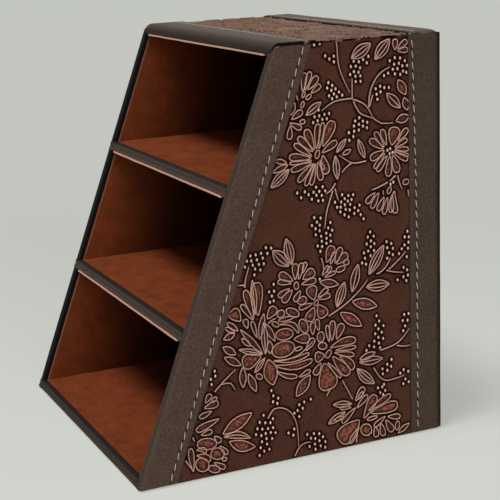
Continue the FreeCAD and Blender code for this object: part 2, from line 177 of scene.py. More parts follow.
# Pointed leaves without a rib.
PLAIN_LEAVES = (
    (1.5, 150.5, 3.5, 155.3, 2), (57, 147.5, 55.5, 153, 3), (51.5, 143.4, 58, 144.8, 3.6),
    (25.2, 131.6, 29.2, 133.2, 1.8), (-1, 130.8, -6.5, 132.4, 2), (13, 77.8, 22, 75.4, 3.4),
    (-26, 62.4, -31, 66.8, 2.2), (-27.6, 62, -32, 64.8, 1.8), (-27.4, 61.3, -32.6, 59.6, 2.6),
    (-15, 50.5, -24.8, 62.6, 2.4), (-20.5, 54.8, -24.4, 58.6, 2), (-16.2, 57, -13.8, 68, 2.6),
    (-9, 55, -13.2, 63.4, 2.4), (-11.4, 49.8, -11.6, 55.6, 2.6), (-21.8, 42.6, -18.6, 34.2, 3),
    (-24.4, 46, -24.6, 37, 3), (-27.4, 52.2, -33, 56.4, 3), (-25.2, 47, -32.6, 51.8, 3),
    (31.8, 39.8, 39.6, 41.8, 2.8), (50.8, 1.6, 56.6, 5.2, 2.2),
)
# Leaves, and further down rings, filled with pressed dots.
DOTTED_LEAVES = (
    (56.2, 154.3, 52.6, 160.8, 3.8), (-0.5, 130, -7.5, 127.4, 2.2), (28.6, 66.8, 40.8, 62.8, 4.8),
    (22.6, 62.6, 33, 55, 4.6), (-12.4, 47.4, -10.6, 35.6, 6.4), (7.2, 37, 0.4, 28.4, 5),
    (-34.8, 18, -21, 25, 5.4), (-32, 14, -20, 9.4, 4.8, -0.8),
)
# Rings and beans.
RINGS = (
    (8.7, 156.4, 11, 158, 1.6), (7, 157.2, 8.1, 159.3, 1.2), (6.5, 153, 7.5, 155.5, 1.4),
    (5.6, 147, 8, 147.4, 1.8), (12.8, 131.2, 13.8, 134.6, 2), (46.9, 112.3, 48.4, 115, 1.8),
    (54.5, 116, 57.5, 116.8, 2.4), (1.8, 76.2, 1.8, 79.4, 2.2), (10.3, 67.8, 11.7, 70, 1.8),
    (2.4, 70.2, 6.4, 71.6, 3.4), (24.8, 84.2, 27.2, 85.2, 2.4), (21, 81.6, 25.4, 82.6, 2.4),
    (16.8, 81.6, 18.6, 83.8, 1.8), (-7.6, 66, -4.2, 67.2, 3.2), (-3.2, 68, 2.6, 64.6, 3.4),
    (-10, 63.4, -7, 61.4, 2), (-7, 63.8, 0, 64.2, 1.8), (0.2, 49.6, 3.8, 50, 1.6),
    (-18.2, 41.6, -15.6, 39.6, 2.2), (15.4, 43.4, 17.4, 46.6, 2.4), (11.6, 49.8, 15.6, 48.4, 3),
    (-39.2, 33.4, -36.8, 35, 1.6), (-35.6, 6.8, -33.4, 6.6, 1.6), (18.6, 14, 23.4, 14.6, 1.6),
    (30.6, 21.6, 33, 24.6, 1.4), (50.8, 7.4, 50.2, 3.2, 2.2), (35, 11, 40.2, 11.6, 1.6),
)
DOTTED_RINGS = (
    (-8.6, 57.6, -0.4, 57, 5), (-10.6, 50.4, 0.2, 51, 7), (3.4, 62.6, 6, 56.4, 3.8),
    (12.8, 51, 12.8, 55.6, 3.4), (-46.6, 16, -37.8, 14.2, 5), (-47, 8.8, -42.6, 3.6, 5.4),
    (-40.6, 11, -34.6, 8.6, 5), (-42, 4.4, -37, 2, 3), (32.4, 8.6, 36.6, 4.2, 5),
)
# Stems: points along each, from thick to thin.
STEMS = (
    ((23, 179.5), (23.7, 178), (23.7, 171), (25.4, 164.5), (29.3, 157.3)),
    ((30.3, 155), (30.4, 163.2)),
    ((30.2, 154.8), (25, 154.9), (20, 153.9), (15.8, 150.9)),
    ((30.3, 154.5), (34.5, 153.2), (38.2, 150), (40, 146)),
    ((30.9, 153.6), (32.7, 149), (36.4, 146.8), (40, 145.7)),
    ((40, 145.8), (42.7, 143.6), (45.5, 142.7), (49.8, 142.7)),
    ((38.2, 150.2), (38.2, 154.5), (40, 160), (44, 165), (48.6, 166.5)),
    ((38.6, 151), (40.2, 155.5)),
    ((4.3, 158.5), (5, 156.3)),
    ((36.4, 127.7), (33, 127.2), (29.4, 127.4), (26.5, 129.3), (23.6, 131.5)),
    ((29.4, 127.4), (26.9, 126.4), (24.8, 124)),
    ((21.5, 119.8), (20.2, 117), (16.9, 115.6)),
    ((21.3, 117.6), (21.9, 114.8), (22.7, 112.3)),
    ((20.2, 116.7), (18, 110.9), (16.6, 106.4), (16, 101)),
    ((46.9, 117.3), (41.3, 115.1), (38.8, 114.8)),
    ((50.8, 119.8), (48, 117.6)),
    ((51.9, 119.8), (52.4, 116.4), (54.1, 113.7)),
    ((44.6, 114), (44.8, 112)),
    ((57, 113), (57.4, 110)),
    ((-22.1, 80.5), (-21.8, 84.5), (-19.8, 89)),
    ((-22.2, 81.5), (-25.5, 82)),
    ((13.9, 88.3), (15.2, 85.5), (14.9, 83)),
    ((16.8, 62), (23.7, 64.9), (30.4, 69.6), (34.7, 73.4), (36.3, 75.6)),
    ((40.8, 77.3), (45.6, 78.4), (47.8, 83.5)),
    ((47, 78.6), (51.8, 81.6), (55.6, 85.6)),
    ((45.6, 78.4), (49.4, 76.8), (54, 76.3)),
    ((-37.7, 37.5), (-34.6, 40.6), (-27.8, 45.6)),
    ((-34.4, 40.2), (-31.2, 40.6), (-29.2, 39), (-28.4, 36.8)),
    ((-11.9, 63.4), (-9.8, 64.8), (-8.2, 65)),
    ((-10, 46), (-3, 45.6), (4, 47.4), (9, 52)),
    ((42, 42.2), (47.6, 43), (53, 45), (57.2, 50)),
    ((50.6, 43.2), (54, 41.8), (57.4, 42.2)),
    ((38.6, 35), (40.6, 31.2), (43.8, 27.8), (48, 27.4), (54.2, 28.5)),
    ((22.9, 31.8), (27.8, 22.2)),
    ((16.8, 28.8), (14.9, 25.9)),
    ((-13.5, 21), (-12, 24), (-8.8, 25.3), (-4, 23.5), (-1, 19.5), (0.7, 14), (0.8, 5)),
    ((-1.2, 1.2), (0.5, 4.5), (3.5, 6.5), (6.5, 6.3)),
    ((-52.4, 9.8), (-49, 4.4)),
    ((-48.6, 19.5), (-47.8, 17.4)),
    ((30, 6.4), (29.4, 1.4)),
)
# Middles of the berries.
BERRIES = (
    (18, 173.4), (19.9, 172), (22, 173), (22, 170.7), (13, 178.3), (15.6, 178.6),
    (19.2, 162.3), (21, 161), (18.6, 160.1), (22.5, 159.5), (20.5, 159), (24.1, 158), (21.7, 157.4),
    (19.4, 156.8), (23, 156.1), (25.6, 156.6), (20.8, 155.5),
    (14.4, 151.4), (12.4, 148.7), (14.6, 148.9), (17, 149.3), (19.2, 149.5), (11.7, 146.4), (13.8, 147),
    (16, 147.3), (18.1, 147.4),
    (38.3, 171.7), (35.8, 170.6), (31.3, 170.2), (33.7, 169.8), (37.5, 169.1), (29.9, 168.1), (32.2, 168.1),
    (34.3, 167.3), (31.3, 165.9), (33.5, 165.5), (29.5, 164.8), (32, 163.9), (34.3, 163.9), (32.1, 161.7),
    (34.4, 161.6),
    (51, 170.2), (53.6, 169.9), (48.6, 169.1), (55.9, 168.6), (50.7, 167.5), (53, 167.7), (54.7, 166.5),
    (57, 166.5), (50, 165.4), (52.3, 165.5), (55, 164.3), (47.7, 164), (56.6, 163.6), (45.7, 163.1),
    (51, 163.4), (53.6, 163),
    (43.8, 158.8), (45.8, 158), (48, 157.9), (41.6, 157.9), (43.9, 156.4), (42, 155.6), (42.4, 153.4),
    (33.5, 146.4), (31.5, 145.2), (35.2, 144.8), (37.3, 144.1), (33.3, 143.6), (30.9, 143.1), (35.2, 142.7),
    (37.1, 141.8), (33.2, 141.2), (30.9, 140.9), (28.4, 140.5), (30.5, 138.7), (28.6, 137.3),
    (46.9, 131.2), (48.3, 131.7), (49.4, 130), (48, 129.6),
    (3.4, 117.6), (5.2, 115.4), (7, 117.7), (8.7, 116.3), (10.2, 114.2), (12.3, 119.1), (11.1, 117.1),
    (12.4, 115.6), (13.8, 117.1), (13.2, 113.1), (15.4, 118.9), (14.9, 115.3), (15.4, 113.1), (16.6, 117),
    (24.6, 114.4), (27.6, 113.7), (29.9, 113.8), (21.1, 111.6), (25.8, 112.6), (29.1, 111.8), (24.1, 111.3),
    (27.3, 111.3), (22.1, 109.3), (25.8, 109.9), (28.4, 109.8), (23.8, 109.1), (30.5, 108.1), (32.9, 108.9),
    (26.2, 107.9), (28.1, 107.4), (23.6, 107.1), (32.2, 106.6), (25.6, 105.6), (30.3, 105.6), (27.6, 104.4),
    (33.4, 104.7), (34.8, 102.7),
    (48.3, 116.2), (49.7, 117),
    (11.1, 106.2), (14.1, 105.6), (12.3, 104.1), (9.9, 102.9), (13.6, 102.6), (11.6, 101.3), (18.7, 103.1),
    (13.5, 100.2), (17.6, 100.9), (19.5, 99.7), (11.6, 98.7), (14.2, 97.7), (16.6, 98.7), (18.5, 97.6),
    (14.4, 95.5), (16.7, 96.5), (18.7, 95), (12.4, 93.7), (14.5, 93.2), (16.6, 94.3), (13.6, 91.2),
    (-11.8, 96.2), (-9.4, 95.7), (-19, 93.7), (-16.6, 93.8), (-14.1, 94.1), (-11.2, 93.7), (-20.7, 91.7),
    (-18.7, 91.5), (-16.1, 91.6), (-13.4, 92), (-21.7, 89.3), (-18.1, 89.6), (-15.3, 89.5), (-13, 89.5),
    (-17.1, 87.8), (-14.7, 87.1), (-17.5, 85.3),
    (13, 79), (-8.8, 80), (-11, 77), (-8.7, 77), (-9.8, 75), (-10.8, 72.5), (-9, 72.8),
    (37.9, 96.5), (36.7, 94.4), (39.6, 94.4), (38.2, 92.5), (36.1, 91.4), (39.9, 91.1), (38.1, 89.9),
    (36.8, 88.2), (39.7, 88), (34.7, 87.6), (37.9, 86), (35.2, 85.2), (33.7, 83.3), (35.6, 82.5),
    (46, 91.1), (48.3, 90), (46.3, 88.4), (49.1, 87.7), (47.2, 86), (49.1, 84.9), (46.2, 83.7),
    (56.5, 94.4), (55.1, 92), (57.2, 91.8), (57, 89.4), (55, 88.4), (53.6, 86.9), (56.7, 86.7), (52.2, 84.9),
    (56.1, 83), (54.4, 78.4), (56.2, 77.1), (54.3, 74.1), (56.6, 74.6), (51.3, 73.2), (55.8, 72.2),
    (40.5, 58.4), (41.8, 55.8), (39.9, 54.2), (43.9, 53.4), (41.3, 52.3), (39.7, 50.3), (43, 50.5),
    (41.3, 48.4), (43.7, 47.5), (39.2, 47), (41.5, 45.7), (36.6, 45.3), (39, 44.4), (35.2, 43.4), (42, 43.5),
    (54.5, 56.8), (56.8, 56.9), (53.7, 54.1), (56.2, 53.9), (54.9, 51.5), (54, 49.4),
    (47.8, 37.1), (45.6, 35.1), (47.6, 33.9), (43.1, 33.5), (45.6, 32.3), (43.3, 31.1),
    (54, 31.2), (52.2, 29.8), (56.4, 30), (54.9, 26.6), (53.8, 24.6), (56.6, 25),
    (43.8, 26.1), (40.7, 25), (42.9, 25), (41.8, 22.6), (44.4, 23.1), (43.3, 21.4),
    (7.2, 25.9), (4, 25.2), (1.6, 24.4), (3.2, 22.5), (0.7, 21.9), (1.4, 19), (-0.9, 21),
    (-37.3, 46.6), (-37.1, 44.4), (-39.2, 43.4), (-38.9, 41),
    (-11.5, 33.3), (-10.7, 30.8), (-8.4, 29.3), (-10.9, 28.1), (-8.9, 27),
    (-15.6, 22.9), (-17.5, 20), (-14.9, 19.3), (-12.5, 18.9), (-11.2, 20.5), (-18.7, 17.3), (-16.4, 16.7),
    (-13.7, 16.5), (-11.3, 16.4), (-19.4, 14.8), (-17, 13.9), (-14.9, 14.4), (-12.5, 14.4), (-10.2, 13.9),
    (-14.6, 12), (-16.8, 11), (-11.9, 11.5), (-14.4, 9.5), (-17.5, 8.4), (-15.9, 6.5), (-13.4, 6.9),
    (-18.1, 5),
    (-4, 12.5), (-1.2, 13.8), (-1.7, 11),
    (5, 10), (8.3, 9.8), (10.9, 9.2), (6.8, 7.9), (8.9, 7.3), (12.7, 7.4), (10.9, 5.9), (6, 4.2), (8.7, 4.8),
    (11.5, 3.4), (13.8, 4.9), (8.9, 2.3), (13.7, 2.3),
)


def slanted(x, level, depth):
    """Point at a level and a depth behind the slanted front."""
    return Vector((x, FOOT.y + SLOPE * (level - FOOT.z) + depth / math.cos(LEAN), level))


def depth_of(point):
    """How far a point lies behind the slanted front."""
    return (point - slanted(0, FOOT.z, 0)).dot(INWARD)


def linear(hex_colour):
    """Linear colour of an sRGB hex value."""
    shares = [int(hex_colour[place:place + 2], 16) / 255 for place in (1, 3, 5)]
    return tuple(s / 12.92 if s <= 0.04045 else ((s + 0.055) / 1.055) ** 2.4 for s in shares)


def colour_property(name, description, hex_colour):
    return bpy.props.FloatVectorProperty(
        name=name, description=description, default=linear(hex_colour), subtype="COLOR", min=0, max=1
    )


def length_property(name, description, millimetres):
    return bpy.props.FloatProperty(
        name=name, description=description, default=millimetres * MM, unit="LENGTH", min=0, precision=5
    )


class CaddySizes(bpy.types.PropertyGroup):
    """Sizes of what the scene adds to the CAD model."""

    edge_round: length_property("Edge rounding", "Radius of a folded leatherette edge", 0.5)
    front_round: length_property("Front rounding", "Radius of the outer edge of a slanted front", 1.3)
    inner_round: length_property("Inner rounding", "Radius of the inner edge of a slanted front", 0.6)
    leather: length_property("Leatherette", "Thickness of one layer of leatherette", 0.8)
    turn_in: length_property("Turn-in", "Leatherette turned in behind a front edge", 2)
    lap_height: length_property("Lap", "By which a lapped end of a binding stands proud", 0.25)
    crease: length_property("Crease", "Depth of the fold along the middle of a binding", 0.3)
    lip: length_property("Lining lip", "Lining that shows below a binding", 0.6)
    corner_round: length_property("Corner rounding", "Radius of a side's upper front corner", 2)
    cap_drop: length_property("Cap drop", "By which the side covers end below the top's covers", 0.9)
    taper: length_property("Taper", "By which the ends of the raised strip sink", 0.7)
    mesh_step: length_property("Mesh step", "Spacing of the loops along a stitched band", 0.7)
    stitch: length_property("Stitch", "Length of a stitch", 3.6)
    stitch_pitch: length_property("Stitch pitch", "From one stitch to the next", 4.6)
    # Also the size of the painted shade in a needle hole.
    stitch_width: length_property("Thread", "Width of a stitch", 0.44)
    hole: length_property("Needle hole", "Radius of a needle hole", 0.5)
    hole_depth: length_property("Hole depth", "Depth of a needle hole", 0.45)
    seam_sink: length_property("Seam sink", "Depth to which a row of stitches draws the band in", 0.18)
    stamp_step: length_property("Stamp step", "Spacing of the mesh on an embossed panel", 0.5)
    ridge: length_property("Ridge", "Half the width of an embossed ridge, and its height", 0.38)
    top_sink: length_property("Top stitch sink", "How much deeper the top's stitches lie", 0.15)
    groove: length_property("Groove", "Depth of the ground beside a ridge", 0.25)
    berry: length_property("Berry", "Half the length of an embossed berry", 0.85)
    stamp_share: bpy.props.FloatProperty(
        name="Stamp size", description="Size of the flowers against their table", default=0.9945,
        min=0.5, max=2,
    )


class CaddyColours(bpy.types.PropertyGroup):
    """Colours of the finishes."""

    leatherette: colour_property("Leatherette", "Plain bands and covers", "#46352c")
    embossed: colour_property("Embossed ground", "Ground of the embossed panels", "#4b2d22")
    # Pale crests: a rubbed finish with a painted highlight.
    rubbed: colour_property("Rubbed ridges", "Tops of the embossed flowers", "#f2c2ae")
    stipple: colour_property("Stipple", "Dots in petals and leaves", "#a35f4e")
    suede: colour_property("Suede", "Lining of the compartments", "#72371d")
    cut_suede: colour_property("Cut suede", "Cut edge of the lining", "#d3a18b")
    thread: colour_property("Thread", "Contrast stitches", "#bda697")
    board: colour_property("Board", "Stiffening board", "#8c867c")
    pad: colour_property("Base pad", "What the caddy stands on", "#2c2623")
    floor: colour_property("Floor", "Surface under the caddy", "#d6d9d2")
    wall: colour_property("Wall", "Backdrop", "#c6c9c2")


def add(tree, kind, values=(), **settings):
    """Adds a node with its settings, and sets or links its inputs. A node stands for its first output."""
    made = tree.nodes.new(kind)
    for name, setting in settings.items():
        setattr(made, name, setting)
    for socket, value in dict(values).items():
        if isinstance(value, bpy.types.Node):
            value = value.outputs[0]
        if isinstance(value, bpy.types.NodeSocket):
            tree.links.new(value, made.inputs[socket])
        else:
            made.inputs[socket].default_value = value
    return made


def new_material(name):
    """An empty material, its tree, and the place on the object for its textures."""
    material = bpy.data.materials.new(name)
    material.use_nodes = True
    tree = material.node_tree
    tree.nodes.clear()
    return material, tree, add(tree, "ShaderNodeTexCoord").outputs["Object"]


def mottle(tree, place, size, detail, roughness=0.5):
    """Noise with patches of a given size."""
    return add(tree, "ShaderNodeTexNoise", {
        "Vector": place, "Scale": 1 / size, "Detail": detail, "Roughness": roughness,
    })


def stretch(tree, value, source, target=(0, 1), **settings):
    """Takes a value from one range to another."""
    ends = dict(zip(("From Min", "From Max", "To Min", "To Max"), (*source, *target)))
    return add(tree, "ShaderNodeMapRange", {"Value": value, **ends}, **settings)


def reckon(tree, operation, first, second):
    """A sum, product or the like of two values."""
    return add(tree, "ShaderNodeMath", {0: first, 1: second}, operation=operation)


def mix(tree, share, first, second, blend="MIX"):
    """A share of the way from one colour to another, or the two blended."""
    return add(tree, "ShaderNodeMixRGB", {"Fac": share, "Color1": first, "Color2": second}, blend_type=blend)


def marked(tree, name):
    """What the vertices carry under a name."""
    return add(tree, "ShaderNodeAttribute", attribute_name=name).outputs["Fac"]


def finished(material, values):
    """A material with its surface put in."""
    tree = material.node_tree
    add(tree, "ShaderNodeOutputMaterial", {"Surface": add(tree, "ShaderNodeBsdfPrincipled", values)})
    return material


def shade(colour, factor):
    """A colour made lighter or darker, with full opacity."""
    return (*(min(1, share * factor) for share in colour), 1)


def leatherette(colours):
    """Calendered PVC leatherette with a fine pressed pebble: a soft even gloss broken by the grain."""
    material, tree, place = new_material("pressed_leatherette")
    # The pebbles are 0.7 mm across, about what the picture can show.
    pebble = add(tree, "ShaderNodeTexVoronoi", {
        "Vector": place, "Scale": 1 / (0.7 * MM),
    }, feature="SMOOTH_F1")
    patch, fine = mottle(tree, place, 14 * MM, 3), mottle(tree, place, 0.9 * MM, 2)
    tone = mix(tree, patch, shade(colours.leatherette, 0.85), shade(colours.leatherette, 1.2))
    grain = mix(tree, 1, tone, stretch(tree, fine, (0.3, 0.7), (0.6, 1.3)), "MULTIPLY")
    # Paler where marked: painted highlights along lit edges, and pale flecks on cut ends.
    rubbed = mix(tree, marked(tree, "worn"), grain, shade(colours.leatherette, 3.4))
    # Painted shade: needle holes and edges that lie in shade are painted near black.
    hole = marked(tree, "hole")
    dark = mix(tree, hole, rubbed, (0.004, 0.003, 0.003, 1))
    # Needle holes and edges that lie in the dark are matt.
    matt = stretch(tree, hole, (0, 1), (0.5, 1))
    bump = add(tree, "ShaderNodeBump", {
        "Strength": 0.35, "Distance": 0.12 * MM, "Height": pebble,
    }, invert=True)
    return finished(material, {
        "Base Color": dark, "Roughness": matt, "IOR": 1.5, "Specular IOR Level": 0.25, "Normal": bump,
    })


def embossed_leatherette(colours):
    """Leatherette pressed with a flower stamp: dark twill ground, dotted petals, painted shade in the
    grooves, ridges rubbed paler with a painted highlight.
    """
    material, tree, place = new_material("flower_stamped_leatherette")
    # Twill lines 0.9 mm apart: a diagonal wave repeats every 0.628 of its scaled sum of coordinates.
    twill = add(tree, "ShaderNodeTexWave", {
        "Vector": place, "Scale": 0.628 / (0.9 * MM * math.sqrt(2)), "Distortion": 1.5, "Detail": 1,
    }, wave_type="BANDS", bands_direction="DIAGONAL")
    patch, dot = mottle(tree, place, 12 * MM, 3), mottle(tree, place, 0.9 * MM, 1)
    tone = mix(tree, patch, shade(colours.embossed, 0.75), shade(colours.embossed, 1.25))
    height = reckon(tree, "ADD", twill.outputs["Fac"], dot)
    ground = mix(tree, 1, tone, stretch(tree, height, (0.5, 1.5), (0.5, 1.45)), "MULTIPLY")
    # The top is painted paler and greyer than the sides: a painted sheen.
    faded = marked(tree, "faded")
    base = mix(tree, faded, ground, shade(colours.leatherette, 3.3))
    spread = stretch(tree, dot, (0.42, 0.62), (0.05, 0.75))
    share = reckon(tree, "MULTIPLY", marked(tree, "dotted"), spread)
    filled = mix(tree, share, base, shade(colours.stipple, 1))
    # Painted shade in the grooves beside the ridges, over a dark antique finish.
    sunk = mix(tree, marked(tree, "groove"), filled, shade(colours.embossed, 0.06))
    # Only the crests are pale, and unevenly: a rubbed finish with a painted highlight.
    crest = reckon(tree, "POWER", marked(tree, "rub"), 1.8)
    light = reckon(tree, "MULTIPLY", crest, stretch(tree, patch, (0.3, 0.7), (0.7, 1)))
    # On the top the crests turn pale grey: painted sheen and highlight.
    paler = mix(tree, faded, shade(colours.rubbed, 1), shade(colours.leatherette, 6))
    worn = mix(tree, light, sunk, paler)
    bump = add(tree, "ShaderNodeBump", {"Strength": 0.4, "Distance": 0.12 * MM, "Height": height})
    return finished(material, {
        "Base Color": worn, "Roughness": 0.5, "IOR": 1.5, "Specular IOR Level": 0.04, "Normal": bump,
    })


def suede(colours):
    """Brushed suede cloth: dull, with patches of turned nap, a paler cut edge, and painted shade towards the
    back.
    """
    material, tree, place = new_material("brushed_suede")
    nap, fibre = mottle(tree, place, 9 * MM, 6, roughness=0.78), mottle(tree, place, 0.8 * MM, 2)
    turned = stretch(tree, nap, (0.32, 0.7))
    lay = mix(tree, turned, shade(colours.suede, 0.66), shade(colours.suede, 1.3))
    edge = mix(tree, marked(tree, "cut"), lay, shade(colours.cut_suede, 1))
    # Painted shade, darkest at the back of a compartment.
    unlit = mix(tree, marked(tree, "dim"), edge, shade(colours.suede, 0.1))
    bump = add(tree, "ShaderNodeBump", {"Strength": 0.4, "Distance": 0.2 * MM, "Height": fibre})
    return finished(material, {
        "Base Color": unlit, "Roughness": 0.95, "IOR": 1.4, "Specular IOR Level": 0.1,
        "Sheen Weight": 0.1, "Sheen Roughness": 0.5, "Sheen Tint": shade(colours.suede, 2.2),
        "Normal": bump,
    })


def plain_finish(name, colour, grain, roughness, contrast):
    """Dull finish with a mottled grain of a given size: board, felt or thread."""
    material, tree, place = new_material(name)
    speckle = mottle(tree, place, grain, 3)
    tone = mix(tree, speckle, shade(colour, 1 - contrast), shade(colour, 1 + contrast))
    bump = add(tree, "ShaderNodeBump", {"Strength": 0.4, "Distance": grain / 4, "Height": speckle})
    return finished(material, {"Base Color": tone, "Roughness": roughness, "IOR": 1.45, "Normal": bump})


def finish_of(name, maker, colours):
    """A material by name, made on first use."""
    return bpy.data.materials.get(name) or maker(colours)


def plain_cover(context):
    """The leatherette of the plain bands and covers."""
    return finish_of("pressed_leatherette", leatherette, context.scene.caddy_colours)


# Degrees from which an edge counts as sharp.
SHARP = 35


def bell(away, width):
    """Falls from one to nought with the distance from a place."""
    return math.exp(-((away / width) ** 2))


def bevel(bm, edges, radius, segments):
    """Rounds edges."""
    bmesh.ops.bevel(
        bm, geom=edges, offset=radius, segments=segments, profile=0.5, affect="EDGES", material=-1,
        clamp_overlap=True,
    )


def verts_in(items):
    """The vertices among what an operator has made."""
    return [item for item in items if isinstance(item, bmesh.types.BMVert)]


def rim_of(bm):
    """Edges of the openings."""
    return [edge for edge in bm.edges if edge.is_boundary]


def prism(corners, run, rounds=(), cuts=0):
    """bmesh of a closed outline pulled along a vector, its long edges rounded and cut across."""
    bm = bmesh.new()
    first = [bm.verts.new(corner) for corner in corners]
    pulled = bmesh.ops.extrude_face_region(bm, geom=[bm.faces.new(first)])["geom"]
    bmesh.ops.translate(bm, vec=run, verts=verts_in(pulled))
    edges = {number: next(edge for edge in vert.link_edges if edge.other_vert(vert) not in first)
             for number, vert in enumerate(first)}
    for numbers, radius, segments in rounds:
        bevel(bm, [edges[number] for number in numbers], radius, segments)
    if cuts:
        along = run.normalized()
        long_edges = [edge for edge in bm.edges
                      if abs((edge.verts[1].co - edge.verts[0].co).dot(along)) > 0.9 * run.length]
        bmesh.ops.subdivide_edges(bm, edges=long_edges, cuts=cuts, use_grid_fill=True)
    bmesh.ops.recalc_face_normals(bm, faces=bm.faces)
    return bm


def copy_of(node):
    """bmesh of a CAD node, its triangles merged into whole faces."""
    bm = bmesh.new()
    bm.from_mesh(frame["nodes"][node].data)
    bmesh.ops.remove_doubles(bm, verts=bm.verts, dist=0.001 * MM)
    bmesh.ops.dissolve_limit(bm, angle_limit=math.radians(1), verts=bm.verts, edges=bm.edges)
    return bm


def round_off(bm, radius, segments=3):
    """Rounds every sharp edge."""
    least = math.radians(SHARP)
    sharp = [edge for edge in bm.edges if edge.is_manifold and edge.calc_face_angle() > least]
    bevel(bm, sharp, radius, segments)


def everything(bm):
    return bm.verts[:] + bm.edges[:] + bm.faces[:]


def slice_across(bm, direction, places):
    """Cuts loops across a direction, for a shape to bend at."""
    for place in places:
        bmesh.ops.bisect_plane(bm, geom=everything(bm), plane_co=direction * place, plane_no=direction)


def steps(low, high, step):
    """Evenly spaced places between two ends, without the ends."""
    count = max(2, round((high - low) / step))
    return [low + (high - low) * number / count for number in range(1, count)]


def clip(bm, place, normal, close=True):
    """Cuts off what lies before a plane, and closes the cut."""
    bmesh.ops.bisect_plane(bm, geom=everything(bm), plane_co=place, plane_no=normal, clear_inner=True)
    if close:
        bmesh.ops.holes_fill(bm, edges=rim_of(bm))


def join(bm, other):
    """Takes another bmesh into the first."""
    mesh = bpy.data.meshes.new("joining")
    other.to_mesh(mesh)
    other.free()
    bm.from_mesh(mesh)
    bpy.data.meshes.remove(mesh)


def new_piece(name, bm, material, slot, *nodes, sharp=SHARP):
    """Piece from a bmesh, kept inside the CAD box: it rides on the caddy and stands for CAD nodes."""
    for vert in bm.verts:
        vert.co = [min(max(share, low), high) for share, low, high in zip(vert.co, *CAD_BOX)]
    bm.normal_update()
    mesh = bpy.data.meshes.new(name)
    bm.to_mesh(mesh)
    bm.free()
    mesh.materials.clear()
    mesh.materials.append(material)
    mesh.shade_smooth()
    mesh.set_sharp_from_angle(angle=math.radians(sharp))
    piece = bpy.data.objects.new(name, mesh)
    bpy.context.scene.collection.objects.link(piece)
    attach(piece, "root")
    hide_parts(*nodes)
    return piece


def layer_of(bm, name):
    """Float attribute of the vertices, made on first use."""
    return bm.verts.layers.float.get(name) or bm.verts.layers.float.new(name)


def seam_run(node):
    """Direction of a seam: up a slanted band, up an upright one or across the top."""
    if node.startswith("top"):
        return ACROSS
    return UPWARD if "front" in node else STANDING


def drift(node, level):
    """By how much an upright seam wanders forward in its upper half, as it was sewn."""
    share = max(0, (level - CAD_BOX[1].z / 2) / (CAD_BOX[1].z / 2))
    return 0 if seam_run(node) != STANDING else -SEAM_WANDER * share ** 1.5


def stitch_places(node, sizes):
    """Middle of each stitch of a seam, on the face of its band."""
    low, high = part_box(node)
    run = seam_run(node)
    axis = max(range(3), key=lambda number: run[number])
    reach = (high[axis] - low[axis]) / run[axis]
    count = round((reach - sizes.stitch) / sizes.stitch_pitch) + 1
    middle = (low + high) / 2
    if run == ACROSS:
        middle.z = low.z
    else:
        middle.x = min(low.x, high.x, key=abs)
    places = [middle + run * sizes.stitch_pitch * (number - (count - 1) / 2) for number in range(count)]
    return [place + BACKWARD * drift(node, place.z) for place in places]


# How far a rear seam wanders forward at its upper end.
SEAM_WANDER = 2 * MM
# How far from a seam its band follows it: off the face, towards the front and towards the rear.
SEAM_FACE, SEAM_FRONT, SEAM_REAR = 0.2 * MM, 3.3 * MM, 9 * MM
# Width of the valley along a seam.
SEAM_VALLEY = 1.1 * MM
# Distances from a seam at which its band is cut lengthwise, so that it can be drawn in.
BESIDE_SEAM = tuple(side * step * MM for side in (-1, 1) for step in (0.2, 0.5, 0.9, 1.5, 2.4)) + (0,)


def draw_in(bm, node, outward, sizes):
    """Draws a band in along a row of stitches, with a needle hole, painted in shade, at each end of a stitch.
    """
    run = seam_run(node)
    side = run.cross(outward)
    places = stitch_places(node, sizes)
    start = places[0] - run * sizes.stitch_pitch / 2
    reach = sizes.stitch_pitch * len(places)
    layer = layer_of(bm, "hole")
    for vert in bm.verts:
        away = vert.co - start
        if abs(away.dot(outward)) > SEAM_FACE or abs(away.dot(side)) > SEAM_REAR:
            continue
        spread = SEAM_FRONT if away.y < 0 else SEAM_REAR
        shift = drift(node, vert.co.z)
        vert.co.y += shift * max(0, 1 - abs(away.y) / spread)
        away = vert.co - start - BACKWARD * shift
        along = away.dot(run)
        if not 0 <= along <= reach:
            continue
        to_hole = (along + sizes.stitch_pitch / 2) % sizes.stitch_pitch - sizes.stitch_pitch / 2
        aside = away.dot(side)
        sink = sizes.seam_sink * bell(aside, SEAM_VALLEY)
        pierced = bell(to_hole, sizes.hole) * bell(aside, sizes.hole)
        # Painted shade in the needle hole.
        vert[layer] = pierced
        vert.co -= outward * (sink + sizes.hole_depth * pierced)


# Size of the pale flecks on a cut edge, and the level of noise from which there is one.
FLECK, FLECK_LEVEL = 1.6 * MM, 0.3


def fleck(place):
    """One where a pale fleck shows on a cut edge, and otherwise nought."""
    return float(noise.noise(place / FLECK) > FLECK_LEVEL)


# Unevenness of each kind of piece: how high and how long its waves are.
UNEVEN = {
    "lining": (0.12 * MM, 11 * MM),
    "binding": (0.08 * MM, 9 * MM),
    "front_band": (0.06 * MM, 13 * MM),
    "top_band": (0.08 * MM, 12 * MM),
    "back_cover": (0.1 * MM, 16 * MM),
}


def ease(bm, kind):
    """Gentle unevenness, as of cloth or leatherette glued over board, the same in every run."""
    amount, spread = UNEVEN[kind]
    noise.seed_set(1)
    for vert in bm.verts:
        vert.co += noise.noise_vector(vert.co / spread) * amount


